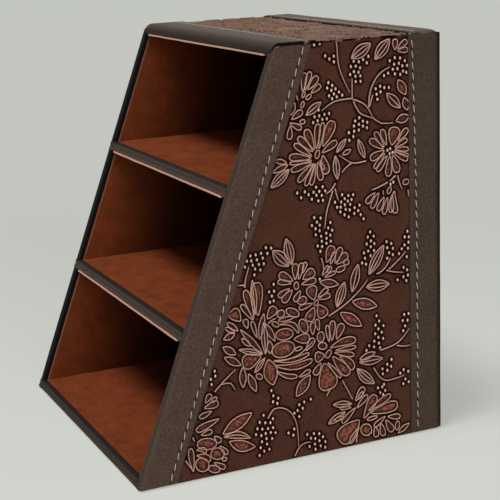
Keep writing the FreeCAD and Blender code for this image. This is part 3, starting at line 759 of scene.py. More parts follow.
class CADDY_OT_stage(bpy.types.Operator):
    """Makes the floor, the backdrop, the lamps and the camera"""

    bl_idname = "caddy.stage"
    bl_label = "Stage"

    # The photograph's camera: turn, height and tilt in degrees, distance and aim in millimetres.
    AZIMUTH, ELEVATION, ROLL = 65.805, 13.849, -2.122
    DISTANCE, AIM_ACROSS, AIM_UP, AIM_LEVEL = 626.17, 13.06, -12.25, 90
    LENS, SENSOR = 96.42, 36
    # Half the floor's length, the direction in which it takes on the wall's tone, and from where to where.
    FLOOR, FADE, FADE_RANGE = 6, (-0.88, 0.476, 0), (-300 * MM, 450 * MM)
    # Share of its own even tone that the floor shows the camera, which softens the shadow.
    EVEN_TONE = 0.6

    def execute(self, context):
        scene = context.scene
        colours = scene.caddy_colours
        scene.view_settings.view_transform = "Standard"
        self.make_floor(scene, colours)
        self.make_world(scene, colours)
        self.make_lamps(scene)
        self.make_camera(scene)
        return {"FINISHED"}

    def make_floor(self, scene, colours):
        bm = bmesh.new()
        bmesh.ops.create_grid(bm, x_segments=1, y_segments=1, size=self.FLOOR)
        mesh = bpy.data.meshes.new("floor")
        bm.to_mesh(mesh)
        bm.free()
        floor = bpy.data.objects.new("floor", mesh)
        scene.collection.objects.link(floor)
        mesh.materials.append(self.floor_finish(colours))

    def floor_finish(self, colours):
        """Matt floor that takes on the wall's tone with distance, and shows the camera a softened shadow."""
        material, tree, place = new_material("matt_floor")
        away = add(tree, "ShaderNodeVectorMath", {0: place, 1: self.FADE}, operation="DOT_PRODUCT")
        share = stretch(tree, away.outputs["Value"], self.FADE_RANGE, interpolation_type="SMOOTHSTEP")
        tone = mix(tree, share, shade(colours.floor, 1), shade(colours.wall, 1))
        matt = add(tree, "ShaderNodeBsdfDiffuse", {"Color": tone})
        shown = add(tree, "ShaderNodeEmission", {"Color": tone})
        soft = add(tree, "ShaderNodeMixShader", {0: self.EVEN_TONE, 1: matt, 2: shown})
        both = add(tree, "ShaderNodeMixShader", {0: self.seen(tree), 1: matt, 2: soft})
        add(tree, "ShaderNodeOutputMaterial", {"Surface": both})
        return material

    def seen(self, tree):
        """One for rays from the camera, from gloss and through glass."""
        rays = add(tree, "ShaderNodeLightPath").outputs
        shown = reckon(tree, "MAXIMUM", rays["Is Camera Ray"], rays["Is Glossy Ray"])
        return reckon(tree, "MAXIMUM", shown, rays["Is Transmission Ray"])

    def make_world(self, scene, colours):
        world = bpy.data.worlds.new("soft_studio")
        scene.world = world
        world.use_nodes = True
        tree = world.node_tree
        tree.nodes.clear()
        lit = add(tree, "ShaderNodeBackground", {"Color": (0.95, 0.97, 1, 1), "Strength": 0.05})
        shown = add(tree, "ShaderNodeBackground", {"Color": shade(colours.wall, 1), "Strength": 1})
        both = add(tree, "ShaderNodeMixShader", {0: self.seen(tree), 1: lit, 2: shown})
        add(tree, "ShaderNodeOutputWorld", {"Surface": both})

    def make_lamps(self, scene):
        # Large far lamps: direction to each, spread in degrees, strength, and whether gloss shows it.
        for name, place, spread, strength, glossy in (
            ("high_key", (0.08, -0.32, 0.94), 20, 2.5, True),
            ("side_key", (0.97, -0.12, 0.22), 36, 1.8, False),
        ):
            data = bpy.data.lights.new(name, "SUN")
            data.energy = strength
            data.angle = math.radians(spread)
            lamp = bpy.data.objects.new(name, data)
            scene.collection.objects.link(lamp)
            lamp.visible_glossy = glossy
            lamp.location = Vector(place)
            lamp.rotation_euler = (-lamp.location).to_track_quat("-Z", "Y").to_euler()

    def make_camera(self, scene):
        turn, rise, roll = (math.radians(angle) for angle in (self.AZIMUTH, self.ELEVATION, self.ROLL))
        back = Vector((math.sin(turn) * math.cos(rise), -math.cos(turn) * math.cos(rise), math.sin(rise)))
        right = Vector((math.cos(turn), math.sin(turn), 0))
        up = back.cross(right)
        aim = Vector((0, 0, self.AIM_LEVEL)) + right * self.AIM_ACROSS + up * self.AIM_UP
        right, up = right * math.cos(roll) + up * math.sin(roll), up * math.cos(roll) - right * math.sin(roll)
        data = bpy.data.cameras.new("camera")
        data.lens, data.sensor_width = self.LENS, self.SENSOR
        data.clip_start = 10 * MM
        camera = bpy.data.objects.new("camera", data)
        scene.collection.objects.link(camera)
        place = Matrix((right, up, back)).transposed().to_4x4()
        place.translation = (aim + back * self.DISTANCE) * MM
        camera.matrix_world = place
        scene.camera = camera


class CADDY_OT_boards(bpy.types.Operator):
    """Gives the stiffening boards their grey board finish"""

    bl_idname = "caddy.boards"
    bl_label = "Boards"

    def execute(self, context):
        colours = context.scene.caddy_colours
        board = plain_finish("grey_board", colours.board, grain=1.2 * MM, roughness=0.9, contrast=0.2)
        for name, node in frame["nodes"].items():
            if name.endswith("_board"):
                node.data.materials.clear()
                node.data.materials.append(board)
        return {"FINISHED"}


class CADDY_OT_linings(bpy.types.Operator):
    """Lines the compartments with suede"""

    bl_idname = "caddy.linings"
    bl_label = "Suede lining"

    # Depth of a lining's front edge, how far a ceiling's is brought forward, and where its ends sink back.
    EDGE, FORWARD, SUNK_END = 0.7 * MM, 2.75 * MM, 2.4 * MM
    # Rounding of the cloth's edges, spacing of its loops, and where it is cut behind its front edge.
    ROUNDING, STEP, EDGE_CUTS = 0.25 * MM, 5 * MM, (0.6 * MM, 0.8 * MM, 2.5 * MM)
    # How pale a wall's cut edge is against a ceiling's.
    WALL_EDGE = 0.2
    # Painted shade: its darkness on the back, the least and the most on walls and ceilings, and the depth
    # over which it grows.
    BACK_DIM, LEAST_DIM, MOST_DIM, DUSK = 0.9, 0.15, 0.85, 50 * MM
    # What each ceiling's front edge shows below.
    ABOVE = {
        "lower_ceiling_lining": "lower_shelf_binding",
        "middle_ceiling_lining": "upper_shelf_binding",
        "upper_ceiling_lining": "top_front_band",
    }

    def execute(self, context):
        sizes = context.scene.caddy_sizes
        cloth = suede(context.scene.caddy_colours)
        for node in sorted(frame["nodes"]):
            if node.endswith("_lining"):
                self.make_lining(node, sizes, cloth)
        return {"FINISHED"}

    def make_lining(self, node, sizes, cloth):
        """Thin cloth with soft edges; a ceiling's front edge is brought forward under its binding."""
        low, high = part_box(node)
        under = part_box(self.ABOVE[node])[0].z - low.z if node in self.ABOVE else 0
        bm = copy_of(node)
        round_off(bm, self.ROUNDING, 2)
        for direction in (ACROSS, BACKWARD, STANDING):
            ends = low.dot(direction), high.dot(direction)
            if ends[1] - ends[0] > 2 * self.STEP:
                slice_across(bm, direction, steps(*ends, self.STEP))
        front = min(depth_of(vert.co) for vert in bm.verts)
        datum = slanted(0, FOOT.z, front).dot(INWARD)
        slice_across(bm, INWARD, [datum + step for step in self.EDGE_CUTS])
        ends = [(end, step) for end in (low.x, high.x) for step in (self.SUNK_END, self.SUNK_END + MM)]
        slice_across(bm, ACROSS, [end - math.copysign(step, end) for end, step in ends])
        ease(bm, "lining")
        layer, dim = layer_of(bm, "cut"), layer_of(bm, "dim")
        for vert in bm.verts:
            behind = depth_of(vert.co) - front
            if behind < self.EDGE and node in self.ABOVE:
                share = min(1, max(0, (high.x - abs(vert.co.x) - self.SUNK_END) / MM))
                vert[layer] = share
                vert.co += (STANDING * (under - sizes.lip) - BACKWARD * self.FORWARD) * share
            elif behind < self.EDGE and "wall" in node:
                vert[layer] = self.WALL_EDGE
            # Walls, ceilings and the back get painted shade that deepens towards the back.
            if "floor" not in node:
                dusk = min(self.MOST_DIM, max(self.LEAST_DIM, behind / self.DUSK))
                vert[dim] = self.BACK_DIM if "back" in node else dusk
        new_piece(node.replace("_lining", "_suede"), bm, cloth, "suede_lining", node)


class CADDY_OT_bindings(bpy.types.Operator):
    """Folds leatherette round the front edges of the base and the shelves"""

    bl_idname = "caddy.bindings"
    bl_label = "Edge bindings"

    # Painted shade on the front of each binding.
    FACE_DARK = {"base_edge_binding": 0.55, "lower_shelf_binding": 0.3, "upper_shelf_binding": 0.3}
    # Painted shade behind the front, in the fold and along the upper edge, and the painted highlight along
    # the lower edge.
    BEHIND_DARK, FOLD_DARK, UPPER_DARK, LOWER_RUBBED = 0.9, 0.6, 0.9, 0.4
    # Widths of the fold, of the upper edge's painted shade and of the lower edge's painted highlight.
    FOLD, UPPER, LOWER = 0.45 * MM, 0.8 * MM, 0.5 * MM
    # Where the binding is cut beside its fold, beside the start of its lap, and along its length.
    FOLD_CUTS, LAP_CUT, STEP = (-1.1 * MM, -0.35 * MM, 0, 0.35 * MM, 1.1 * MM), 0.3 * MM, 4 * MM

    def execute(self, context):
        sizes = context.scene.caddy_sizes
        cover = plain_cover(context)
        for node in self.FACE_DARK:
            self.make_binding(node, sizes, cover)
        return {"FINISHED"}

    def make_binding(self, node, sizes, cover):
        """Creased along its middle, with painted shade above and in the crease, a painted highlight along its
        lower edge, its left end lapped over.
        """
        low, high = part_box(node)
        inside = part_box("left_wall_lining")[1].x
        middle = (low.z + high.z) / 2
        bm = copy_of(node)
        slice_across(bm, STANDING, [middle + step for step in self.FOLD_CUTS] + [high.z - self.UPPER])
        slice_across(bm, ACROSS, [inside - self.LAP_CUT, inside + self.LAP_CUT])
        slice_across(bm, ACROSS, steps(inside, high.x, self.STEP))
        hole, worn = layer_of(bm, "hole"), layer_of(bm, "worn")
        for vert in bm.verts:
            # What lies deeper than most of the leatherette is the back of the binding, and gets painted
            # shade.
            if depth_of(vert.co) > sizes.leather * 0.7:
                vert[hole] = self.BEHIND_DARK
                continue
            fold = bell(vert.co.z - middle, self.FOLD)
            upper = bell(high.z - vert.co.z, self.UPPER)
            vert[hole] = max(self.FOLD_DARK * fold, self.UPPER_DARK * upper, self.FACE_DARK[node])
            vert[worn] = self.LOWER_RUBBED * bell(vert.co.z - low.z, self.LOWER)
            proud = sizes.lap_height if vert.co.x < inside else 0
            vert.co += INWARD * (sizes.crease * fold - proud)
        ease(bm, "binding")
        new_piece(node.replace("_binding", "_fold"), bm, cover, "plain_leatherette", node)


class CADDY_OT_front_bands(bpy.types.Operator):
    """Wraps the bands round the slanted front edges of the sides"""

    bl_idname = "caddy.front_bands"
    bl_label = "Front bands"

    # By which a band is made too long at each end before it is cut, and its gap to the panel.
    OVERRUN, PANEL_GAP = 12 * MM, 0.2 * MM
    # Depths at which the outside is cut lengthwise between the seam and the front.
    FACE_CUTS = (7 * MM, 4 * MM)
    # Painted shade on the front of each band: its darkness, how deep it goes, and how far from the outside it
    # starts.
    FRONT_DARK, DARK_DEPTH, DARK_START = {"left": 1, "right": 0.45}, 0.6 * MM, 0.9 * MM
    # Width of the painted highlight along the right band's inner edge, and how pale it is.
    LINE, LINE_RUBBED = 0.5 * MM, 0.9

    def execute(self, context):
        sizes = context.scene.caddy_sizes
        cover = plain_cover(context)
        for side, sign in SIDES:
            self.make_band(side, sign, sizes, cover)
        return {"FINISHED"}

    def make_band(self, side, sign, sizes, cover):
        node = f"{side}_front_band"
        low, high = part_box(node)
        inside, out = sorted((abs(low.x), abs(high.x)))
        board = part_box(f"{side}_side_board")
        board_in, board_out = sorted(abs(corner.x) for corner in board)
        seam_depth = depth_of(stitch_places(f"{side}_front_seam", sizes)[0])
        end = depth_of(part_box(f"{side}_embossed_panel")[0]) - self.PANEL_GAP
        outline = [(end, board_out), (end, out)]
        outline += [(seam_depth + beside, out) for beside in sorted(BESIDE_SEAM, reverse=True)]
        outline += [(depth, out) for depth in self.FACE_CUTS]
        front = len(outline)
        outline += [(0, out), (0, board_out), (0, inside), (sizes.turn_in, inside), (sizes.turn_in, board_in),
                    (sizes.leather, board_in), (sizes.leather, board_out)]
        start = slanted(0, low.z, 0) - UPWARD * self.OVERRUN
        corners = [start + INWARD * depth + ACROSS * sign * x for depth, x in outline]
        reach = (high.z - low.z) / math.cos(LEAN) + 2 * self.OVERRUN
        bm = prism(corners, UPWARD * reach, rounds=(
            ((1,), sizes.edge_round, 3), ((front,), sizes.front_round, 4),
            ((front + 2,), sizes.inner_round, 3),
        ), cuts=int(reach / sizes.mesh_step))
        draw_in(bm, f"{side}_front_seam", ACROSS * sign, sizes)
        clip(bm, STANDING * low.z, STANDING)
        inner = bm.copy()
        clip(bm, ACROSS * sign * board_out, ACROSS * sign)
        clip(bm, STANDING * (high.z - sizes.cap_drop), -STANDING)
        clip(inner, ACROSS * sign * board_out, ACROSS * -sign)
        clip(inner, STANDING * board[1].z, -STANDING)
        join(bm, inner)
        hole, worn = layer_of(bm, "hole"), layer_of(bm, "worn")
        for vert in bm.verts:
            across, depth = abs(vert.co.x), depth_of(vert.co)
            rise = min(sizes.corner_round, max(0, vert.co.z - high.z + sizes.cap_drop + sizes.corner_round))
            least = sizes.corner_round - math.sqrt(sizes.corner_round ** 2 - rise ** 2)
            if depth < least:
                vert.co += INWARD * (least - depth)
            # Painted shade on the front face, and on the inner leg behind the lining.
            if depth < self.DARK_DEPTH and across < out - self.DARK_START or across < board_in:
                vert[hole] = self.FRONT_DARK[side]
            # A painted highlight along the right band's inner edge.
            if side == "right" and across < inside + self.LINE and depth < self.LINE:
                vert[hole], vert[worn] = 0, self.LINE_RUBBED
        ease(bm, "front_band")
        new_piece(f"{side}_edge_band", bm, cover, "plain_leatherette", node)


class CADDY_OT_top_bands(bpy.types.Operator):
    """Covers the rounded front of the top, and lays the raised strip along its rear"""

    bl_idname = "caddy.top_bands"
    bl_label = "Top bands"

    # Widths of the ends and of the strip's front edge that are painted in shade with pale flecks.
    END, RIM = 0.35 * MM, 0.3 * MM
    # The nose's painted shade: its reach, its darkness at the top, how that grows downwards, and the most it
    # reaches.
    NOSE, NOSE_DARK, NOSE_GROWTH, NOSE_MOST = 6 * MM, 0.2, 0.18 / MM, 0.8
    # Length of the strip's ends that sink, and how far down they do.
    SUNK_LENGTH, SUNK_DEPTH = 6 * MM, 1.5 * MM

    def execute(self, context):
        sizes = context.scene.caddy_sizes
        cover = plain_cover(context)
        for place in ("front", "rear"):
            self.make_band(place, sizes, cover)
        return {"FINISHED"}

    def make_band(self, place, sizes, cover):
        node, seam = f"top_{place}_band", f"top_{place}_seam"
        low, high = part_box(node)
        seam_line = stitch_places(seam, sizes)[0].y
        bm = copy_of(node)
        round_off(bm, sizes.edge_round)
        slice_across(bm, ACROSS, steps(low.x, high.x, sizes.mesh_step))
        slice_across(bm, BACKWARD, [seam_line + beside for beside in BESIDE_SEAM])
        draw_in(bm, seam, STANDING, sizes)
        if place == "rear":
            self.taper(bm, high, sizes)
        hole, worn = layer_of(bm, "hole"), layer_of(bm, "worn")
        for vert in bm.verts:
            # Painted shade on the cut ends and on the strip's front edge, broken by pale flecks.
            if abs(vert.co.x) > high.x - self.END or place == "rear" and vert.co.y < low.y + self.RIM:
                vert[worn] = fleck(vert.co)
                vert[hole] = 1 - vert[worn]
            # Painted shade on the nose, deepening downwards.
            if place == "front" and vert.co.y < low.y + self.NOSE:
                dark = self.NOSE_DARK + self.NOSE_GROWTH * (high.z - vert.co.z)
                vert[hole] = max(vert[hole], min(self.NOSE_MOST, dark))
        ease(bm, "top_band")
        new_piece(f"top_{place}_strip", bm, cover, "plain_leatherette", node)

    def taper(self, bm, high, sizes):
        """The strip's ends sink towards the edges of the sides."""
        for vert in bm.verts:
            share = max(0, 1 - (high.x - abs(vert.co.x)) / self.SUNK_LENGTH)
            if vert.co.z > high.z - self.SUNK_DEPTH:
                vert.co.z -= sizes.taper * share * share


class CADDY_OT_back_cover(bpy.types.Operator):
    """Covers the back and wraps its cover round both rear edges"""

    bl_idname = "caddy.back_cover"
    bl_label = "Back cover"

    # Spacing of the loops across the back, and height of the rim that ends lower.
    STEP, RIM = 12 * MM, 0.2 * MM
    # Painted shade on the faces on the sides: its darkness, and their depth.
    FLANK_DARK, FLANK = 0.17, 0.6 * MM
    # Painted shade at the rear corners: their reach, where they are cut, its spread as an area, and its
    # darkness.
    CORNER, CORNER_CUTS, CORNER_SPREAD, CORNER_DARK = 4 * MM, (4 * MM, 3 * MM), 10 * MM * MM, 0.85

    def execute(self, context):
        sizes = context.scene.caddy_sizes
        cover = plain_cover(context)
        low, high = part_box("back_cover")
        bm = copy_of("back_cover")
        round_off(bm, sizes.edge_round)
        slice_across(bm, STANDING, steps(low.z, high.z, sizes.mesh_step))
        seam_line = stitch_places("right_rear_seam", sizes)[0].y
        slice_across(bm, BACKWARD, [seam_line + beside for beside in BESIDE_SEAM])
        slice_across(bm, BACKWARD, [high.y - step for step in self.CORNER_CUTS])
        slice_across(bm, ACROSS, steps(low.x, high.x, self.STEP))
        for side, sign in SIDES:
            draw_in(bm, f"{side}_rear_seam", ACROSS * sign, sizes)
        layer = layer_of(bm, "hole")
        for vert in bm.verts:
            if vert.co.z > high.z - self.RIM:
                vert.co.z -= sizes.cap_drop
            # Painted shade along the flanks and in the rear corners.
            away = high.y - vert.co.y, high.x - abs(vert.co.x)
            corner = max(0, self.CORNER - away[0]) * max(0, self.CORNER - away[1]) / self.CORNER_SPREAD
            flank = self.FLANK_DARK if away[1] < self.FLANK else 0
            vert[layer] = max(vert[layer], flank, min(self.CORNER_DARK, corner))
        ease(bm, "back_cover")
        new_piece("back_wrap", bm, cover, "plain_leatherette", "back_cover")
        return {"FINISHED"}


class CADDY_OT_base_pad(bpy.types.Operator):
    """Lays the felt pad under the base"""

    bl_idname = "caddy.base_pad"
    bl_label = "Base pad"

    ROUNDING, STEP = 0.3 * MM, 12 * MM

    def execute(self, context):
        colours = context.scene.caddy_colours
        felt = plain_finish("pressed_felt", colours.pad, grain=1.5 * MM, roughness=0.95, contrast=0.3)
        low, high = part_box("base_pad")
        bm = copy_of("base_pad")
        round_off(bm, self.ROUNDING)
        for direction in (ACROSS, BACKWARD):
            slice_across(bm, direction, steps(low.dot(direction), high.dot(direction), self.STEP))
        new_piece("felt_pad", bm, felt, "base_pad", "base_pad")
        return {"FINISHED"}


# Half the width of a motif along its length, as a share of its width.
PROFILES = {
    "petal": lambda along: 0.735 * along ** 0.7 * math.sqrt(1 - along ** 4),
    "leaf": lambda along: 0.5 * math.sin(math.pi * along) ** 0.9,
    "ring": lambda along: math.sqrt(along * (1 - along)),
}
MOTIFS = (
    ("petal", PETALS, False), ("petal", DOTTED_PETALS, True), ("leaf", LEAVES, False),
    ("leaf", PLAIN_LEAVES, False), ("leaf", DOTTED_LEAVES, True), ("ring", RINGS, False),
    ("ring", DOTTED_RINGS, True),
)
# Places along a motif at which its outline is drawn, closer together towards its ends.
ALONG = tuple(0.5 - 0.485 * math.cos(math.pi * number / 9) for number in range(10))


def tree_of(places):
    """Search tree of places on the stamp's plane."""
    tree = kdtree.KDTree(len(places))
    for number, place in enumerate(places):
        tree.insert((*place, 0), number)
    tree.balance()
    return tree


def lies_inside(place, outline):
    """Whether a line sideways from a place crosses the outline an odd number of times."""
    x, y, _ = place
    inside = False
    for a, b in zip(outline, outline[1:] + outline[:1]):
        if (a.y > y) != (b.y > y) and x < a.x + (b.x - a.x) * (y - a.y) / (b.y - a.y):
            inside = not inside
    return inside


class CADDY_OT_embossed_panels(bpy.types.Operator):
    """Presses flowers into the panels on the sides and the top"""

    bl_idname = "caddy.embossed_panels"
    bl_label = "Embossed panels"

    # Point of the tables, in millimetres, that stays put when the stamp's size changes.
    HELD = Vector((-40, 70))
    # Depth of the ground below a panel's face, and how far outside a panel the stamp is still drawn.
    GROUND, MARGIN = 0.1 * MM, 2 * MM
    # Where the top's stretch of the stamp starts, and how rubbed and highlit its ridges are against the
    # sides'; the rest is the top's painted sheen.
    TOP_START, TOP_RUBBED = (-92 * MM, 7 * MM), 0.1
    # Widths of the rims at the ends and the rear of the top that are painted in shade, and how pale their
    # flecks are.
    END_RIM, REAR_RIM, RIM_RUBBED = 0.9 * MM, 0.7 * MM, 0.8
    # Width, in millimetres, from which a leaf has two ribs, and where these lie in its half width.
    WIDE_LEAF, RIBS = 4.2, (-0.36, 0.36)
    # How strongly plain and dotted motifs are marked, and how much of a groove's painted shade is left inside
    # them.
    PLAIN_MARK, DOTTED_MARK, INSIDE_GROOVE = 0.7, 1, 0.75
    # In half widths of a ridge: how far the painted shade in its groove reaches, how that fades, and how the
    # ground rises again.
    GROOVE_DARK, GROOVE_FADE, GROUND_RISE = 2, 1.3, 2
    # Half widths of a berry against its half length: sideways, along and up.
    BERRY_SHAPE = (0.72, 1, 0.6)
    # Thickness of a stem at its root against a ridge, and by how much it thins.
    STEM_ROOT, STEM_THINNING = 1.25, 0.5

    def execute(self, context):
        self.sizes = context.scene.caddy_sizes
        colours = context.scene.caddy_colours
        self.finish = finish_of("flower_stamped_leatherette", embossed_leatherette, colours)
        self.draw_stamp()
        for side, sign in SIDES:
            self.make_side_panel(side, sign)
        self.make_top_panel()
        return {"FINISHED"}

    def stamped(self, place):
        """A place of the tables at the size of the stamp."""
        return (self.HELD + (Vector(place) - self.HELD) * self.sizes.stamp_share) * MM

    def draw_stamp(self):
        """Lines of the stamp: outlines, ribs and stems, and the outlines that are filled with dots."""
        self.outlines, self.dotted, self.stems = [], [], []
        for kind, rows, dotted in MOTIFS:
            for row in rows:
                outline = self.motif_line(kind, row, 1) + self.motif_line(kind, row, -1)[::-1]
                self.outlines.append(outline)
                if dotted:
                    self.dotted.append(outline)
        for row in LEAVES:
            ribs = (0,) if row[4] < self.WIDE_LEAF else self.RIBS
            self.stems += [self.motif_line("leaf", row, share)[1:-1] for share in ribs]
        self.stems += [[self.stamped(place) for place in stem] for stem in STEMS]
        self.berries = [self.stamped(place) for place in BERRIES]

    def motif_line(self, kind, row, share):
        """Line along a motif: at a share of its half width, bent sideways with it."""
        base, tip = self.stamped(row[:2]), self.stamped(row[2:4])
        width, bend = row[4] * MM, (row[5] if len(row) > 5 else 0) * MM
        sideways = Vector((base.y - tip.y, tip.x - base.x)).normalized()
        return [base.lerp(tip, along) + sideways * (
            share * width * PROFILES[kind](along) + bend * math.sin(math.pi * along)) for along in ALONG]

    def make_side_panel(self, side, sign):
        node = f"{side}_embossed_panel"
        low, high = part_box(node)
        face, back = sorted((low.x, high.x), key=abs, reverse=True)
        # From the stamp's own plane to the side: its length to the rear, its height up.
        turn = Matrix((BACKWARD, STANDING, ACROSS * sign)).transposed().to_4x4()
        place = Matrix.Translation(ACROSS * (face - sign * self.GROUND)) @ turn
        upper = high - STANDING * self.sizes.cap_drop
        edges = [(low, INWARD), (high, -BACKWARD), (low, STANDING), (upper, -STANDING)]
        area = ((low.y, low.z), (high.y, high.z))
        self.make_panel(node, place, area, edges, ACROSS * back, 1)

    def make_top_panel(self):
        node = "top_embossed_panel"
        low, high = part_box(node)
        # Another stretch of the same stamp, laid crosswise.
        turn = Matrix((BACKWARD, ACROSS, STANDING)).transposed().to_4x4()
        shift = Vector((*self.TOP_START, high.z - self.GROUND))
        edges = [(low, ACROSS), (high, -ACROSS), (low, BACKWARD), (high, -BACKWARD)]
        area = ((low.y - shift.y, low.x - shift.x), (high.y - shift.y, high.x - shift.x))
        place = Matrix.Translation(shift) @ turn
        self.make_panel(node, place, area, edges, STANDING * low.z, self.TOP_RUBBED)

    def make_panel(self, node, place, area, edges, back, rubbed):
        ground = self.make_ground(area, place, edges, back)
        relief = self.make_relief(area, rubbed)
        # The top takes a painted sheen as far as its ridges are less rubbed and highlit than the sides'.
        for layer, bm in ((layer_of(bm, "faded"), bm) for bm in (ground, relief)):
            for vert in bm.verts:
                vert[layer] = 1 - rubbed
        if node.startswith("top"):
            self.darken_rim(ground, *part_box(node))
        bmesh.ops.transform(relief, matrix=place, verts=relief.verts)
        for point, normal in edges:
            clip(relief, point, normal)
        join(ground, relief)
        bmesh.ops.recalc_face_normals(ground, faces=ground.faces)
        name = node.replace("embossed", "flower")
        new_piece(name, ground, self.finish, "embossed_leatherette", node, sharp=60)

    def darken_rim(self, bm, low, high):
        """Painted shade on the cut ends, with pale flecks, and along the rear edge beside the raised strip.
        """
        groove, rub = layer_of(bm, "groove"), layer_of(bm, "rub")
        for vert in bm.verts:
            if abs(vert.co.x) > high.x - self.END_RIM:
                vert[groove], vert[rub] = 1, self.RIM_RUBBED * fleck(vert.co)
            elif vert.co.y > high.y - self.REAR_RIM:
                vert[groove] = 1

    def make_ground(self, area, place, edges, back):
        """Sheet that sinks beside each ridge, cut to its panel and closed behind."""
        (left, low), (right, high) = area
        bm = bmesh.new()
        spread = Matrix.Translation(((left + right) / 2, (low + high) / 2, 0))
        spread @= Matrix.Diagonal((right - left, high - low, 1, 1))
        columns, rows = (round(reach / self.sizes.stamp_step) for reach in (right - left, high - low))
        bmesh.ops.create_grid(bm, x_segments=columns, y_segments=rows, size=0.5, matrix=spread)
        self.press(bm)
        bmesh.ops.transform(bm, matrix=place, verts=bm.verts)
        for point, normal in edges:
            clip(bm, point, normal, close=False)
        rim = bmesh.ops.extrude_edge_only(bm, edges=rim_of(bm))["geom"]
        outward = place.to_3x3() @ STANDING
        for vert in verts_in(rim):
            vert.co += outward * (back - vert.co).dot(outward)
        bmesh.ops.holes_fill(bm, edges=rim_of(bm))
        return bm

    def press(self, bm):
        """Sinks the ground beside ridges and berries, and marks the painted shade in the grooves and the
        dotted petals.
        """
        sizes = self.sizes
        lines = [line + line[:1] for line in self.outlines] + self.stems
        runs = [run for line in lines for run in zip(line, line[1:])]
        ridges = tree_of([start.lerp(end, share / 4) for start, end in runs for share in range(4)])
        berries = tree_of(self.berries)
        groove = layer_of(bm, "groove")
        for vert in bm.verts:
            beside = min(ridges.find(vert.co)[2], berries.find(vert.co)[2] - sizes.ridge)
            past = max(0, beside - self.GROOVE_DARK * sizes.ridge)
            vert[groove] = bell(past, self.GROOVE_FADE * sizes.ridge)
            vert.co.z -= sizes.groove * bell(max(0, beside), self.GROUND_RISE * sizes.ridge)
        self.mark_dotted(bm)
        dotted = layer_of(bm, "dotted")
        for vert in bm.verts:
            if vert[dotted]:
                vert[groove] *= self.INSIDE_GROOVE

    def mark_dotted(self, bm):
        """Marks the ground inside petals and leaves: fully where they are dotted, less elsewhere."""
        layer = layer_of(bm, "dotted")
        verts = bm.verts[:]
        ground = tree_of([vert.co.xy for vert in verts])
        marks = [(line, self.PLAIN_MARK) for line in self.outlines]
        marks += [(line, self.DOTTED_MARK) for line in self.dotted]
        for outline, amount in marks:
            middle = sum(outline, Vector((0, 0))) / len(outline)
            reach = max((point - middle).length for point in outline)
            for place, number, _ in ground.find_range((*middle, 0), reach):
                if lies_inside(place, outline):
                    verts[number][layer] = amount

    def make_relief(self, area, rubbed):
        """Ridges as beads along the stamp's lines, and berries as low domes."""
        (left, low), (right, high) = area

        def near(point):
            across = left - self.MARGIN < point.x < right + self.MARGIN
            return across and low - self.MARGIN < point.y < high + self.MARGIN

        curve = bpy.data.curves.new("stamp", "CURVE")
        curve.dimensions = "2D"
        curve.fill_mode = "NONE"
        curve.bevel_depth = self.sizes.ridge
        curve.bevel_resolution = 0
        curve.resolution_u = 4
        curve.use_fill_caps = True
        for kind, lines in (("POLY", self.outlines), ("NURBS", self.stems)):
            for line in lines:
                if any(near(point) for point in line):
                    self.add_spline(curve, kind, line)
        holder = bpy.data.objects.new("stamp", curve)
        mesh = bpy.data.meshes.new_from_object(holder)
        bm = bmesh.new()
        bm.from_mesh(mesh)
        for leftover, kind in ((holder, bpy.data.objects), (curve, bpy.data.curves), (mesh, bpy.data.meshes)):
            kind.remove(leftover)
        self.rub_crests(bm, rubbed)
        for berry in filter(near, self.berries):
            join(bm, self.make_berry(berry, 0.5 + rubbed / 2))
        return bm

    def make_berry(self, place, rubbed):
        halves = [self.sizes.berry * share for share in self.BERRY_SHAPE]
        shape = Matrix.Translation((*place, 0)) @ Matrix.Diagonal((*halves, 1))
        bm = bmesh.new()
        bmesh.ops.create_uvsphere(bm, u_segments=8, v_segments=4, radius=1, matrix=shape)
        self.rub_crests(bm, rubbed)
        return bm

    def rub_crests(self, bm, rubbed):
        """Marks the relief as rubbed and highlit, from nothing at the ground to all at a ridge's height."""
        layer = layer_of(bm, "rub")
        for vert in bm.verts:
            vert[layer] = rubbed * min(1, max(0, vert.co.z / self.sizes.ridge))

    def add_spline(self, curve, kind, line):
        spline = curve.splines.new(kind)
        spline.points.add(len(line) - 1)
        for number, (point, place) in enumerate(zip(spline.points, line)):
            point.co = (*place, 0, 1)
            thinned = self.STEM_ROOT - self.STEM_THINNING * number / len(line)
            point.radius = 1 if kind == "POLY" else thinned
        if kind == "POLY":
            spline.use_cyclic_u = True
        else:
            spline.order_u = 3
            spline.use_endpoint_u = True


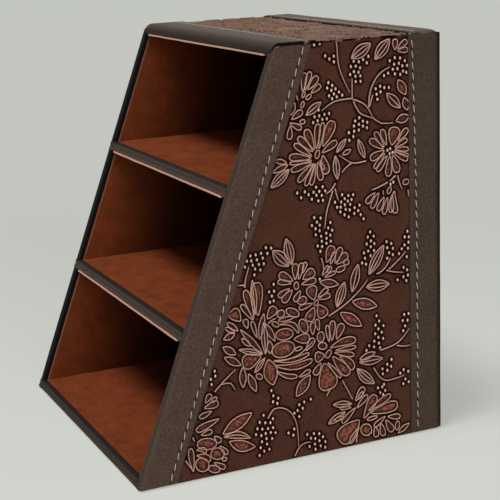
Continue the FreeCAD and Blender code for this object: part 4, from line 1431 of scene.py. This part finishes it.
class CADDY_OT_seams(bpy.types.Operator):
    """Sews the rows of stitches"""

    bl_idname = "caddy.seams"
    bl_label = "Seams"

    # Lean of a stitch across its seam, and how much it varies, in degrees; its height against its width.
    TILT, TILT_SPREAD, FLATNESS = 10, 4, 0.8

    def execute(self, context):
        sizes = context.scene.caddy_sizes
        colours = context.scene.caddy_colours
        thread = plain_finish(
            "polyester_thread", colours.thread, grain=0.5 * MM, roughness=0.7, contrast=0.25,
        )
        seams = [f"{side}_{place}_seam" for side, _ in SIDES for place in ("front", "rear")]
        for node in seams + ["top_front_seam", "top_rear_seam"]:
            self.make_seam(node, sizes, thread)
        return {"FINISHED"}

    def make_seam(self, node, sizes, thread):
        """Stitches taper towards their holes and lean a little across the seam, as lockstitches do."""
        run = seam_run(node)
        outward = STANDING if run == ACROSS else ACROSS * (1 if node.startswith("right") else -1)
        draw = random.Random(node)
        bm = bmesh.new()
        sunk = outward * (sizes.top_sink if outward == STANDING else 0)
        for middle in stitch_places(node, sizes):
            tilt = self.TILT + draw.uniform(-self.TILT_SPREAD, self.TILT_SPREAD)
            along = Matrix.Rotation(math.radians(tilt), 4, outward) @ run
            turn = Matrix((along.cross(outward), outward, along)).transposed().to_4x4()
            width = sizes.stitch_width
            scale = Matrix.Diagonal((width, width * self.FLATNESS, sizes.stitch, 1))
            place = Matrix.Translation(middle - sunk)
            bmesh.ops.create_uvsphere(bm, u_segments=8, v_segments=6, radius=0.5, matrix=place @ turn @ scale)
        new_piece(f"{node}_thread", bm, thread, "thread", node, sharp=80)


class CADDY_PT_sidebar(bpy.types.Panel):
    """Lists the caddy's pieces and their sizes and colours"""

    bl_idname = "CADDY_PT_sidebar"
    bl_label = "Remote control caddy"
    bl_space_type = "VIEW_3D"
    bl_region_type = "UI"
    bl_category = "Caddy"

    def draw(self, context):
        for operator in OPERATORS:
            self.layout.operator(operator.bl_idname)
        for group in (context.scene.caddy_sizes, context.scene.caddy_colours):
            for name in group.__annotations__:
                self.layout.prop(group, name)


OPERATORS = (
    CADDY_OT_stage,
    CADDY_OT_boards,
    CADDY_OT_linings,
    CADDY_OT_bindings,
    CADDY_OT_front_bands,
    CADDY_OT_top_bands,
    CADDY_OT_back_cover,
    CADDY_OT_base_pad,
    CADDY_OT_embossed_panels,
    CADDY_OT_seams,
)
CLASSES = (CaddySizes, CaddyColours, *OPERATORS, CADDY_PT_sidebar)


def register():
    for item in CLASSES:
        bpy.utils.register_class(item)
    bpy.types.Scene.caddy_sizes = bpy.props.PointerProperty(type=CaddySizes)
    bpy.types.Scene.caddy_colours = bpy.props.PointerProperty(type=CaddyColours)


def unregister():
    del bpy.types.Scene.caddy_colours
    del bpy.types.Scene.caddy_sizes
    for item in reversed(CLASSES):
        bpy.utils.unregister_class(item)


def main():
    register()
    bpy.ops.caddy.stage()
    bpy.ops.caddy.boards()
    bpy.ops.caddy.linings()
    bpy.ops.caddy.bindings()
    bpy.ops.caddy.front_bands()
    bpy.ops.caddy.top_bands()
    bpy.ops.caddy.back_cover()
    bpy.ops.caddy.base_pad()
    bpy.ops.caddy.embossed_panels()
    bpy.ops.caddy.seams()


if __name__ == "__main__":
    main()
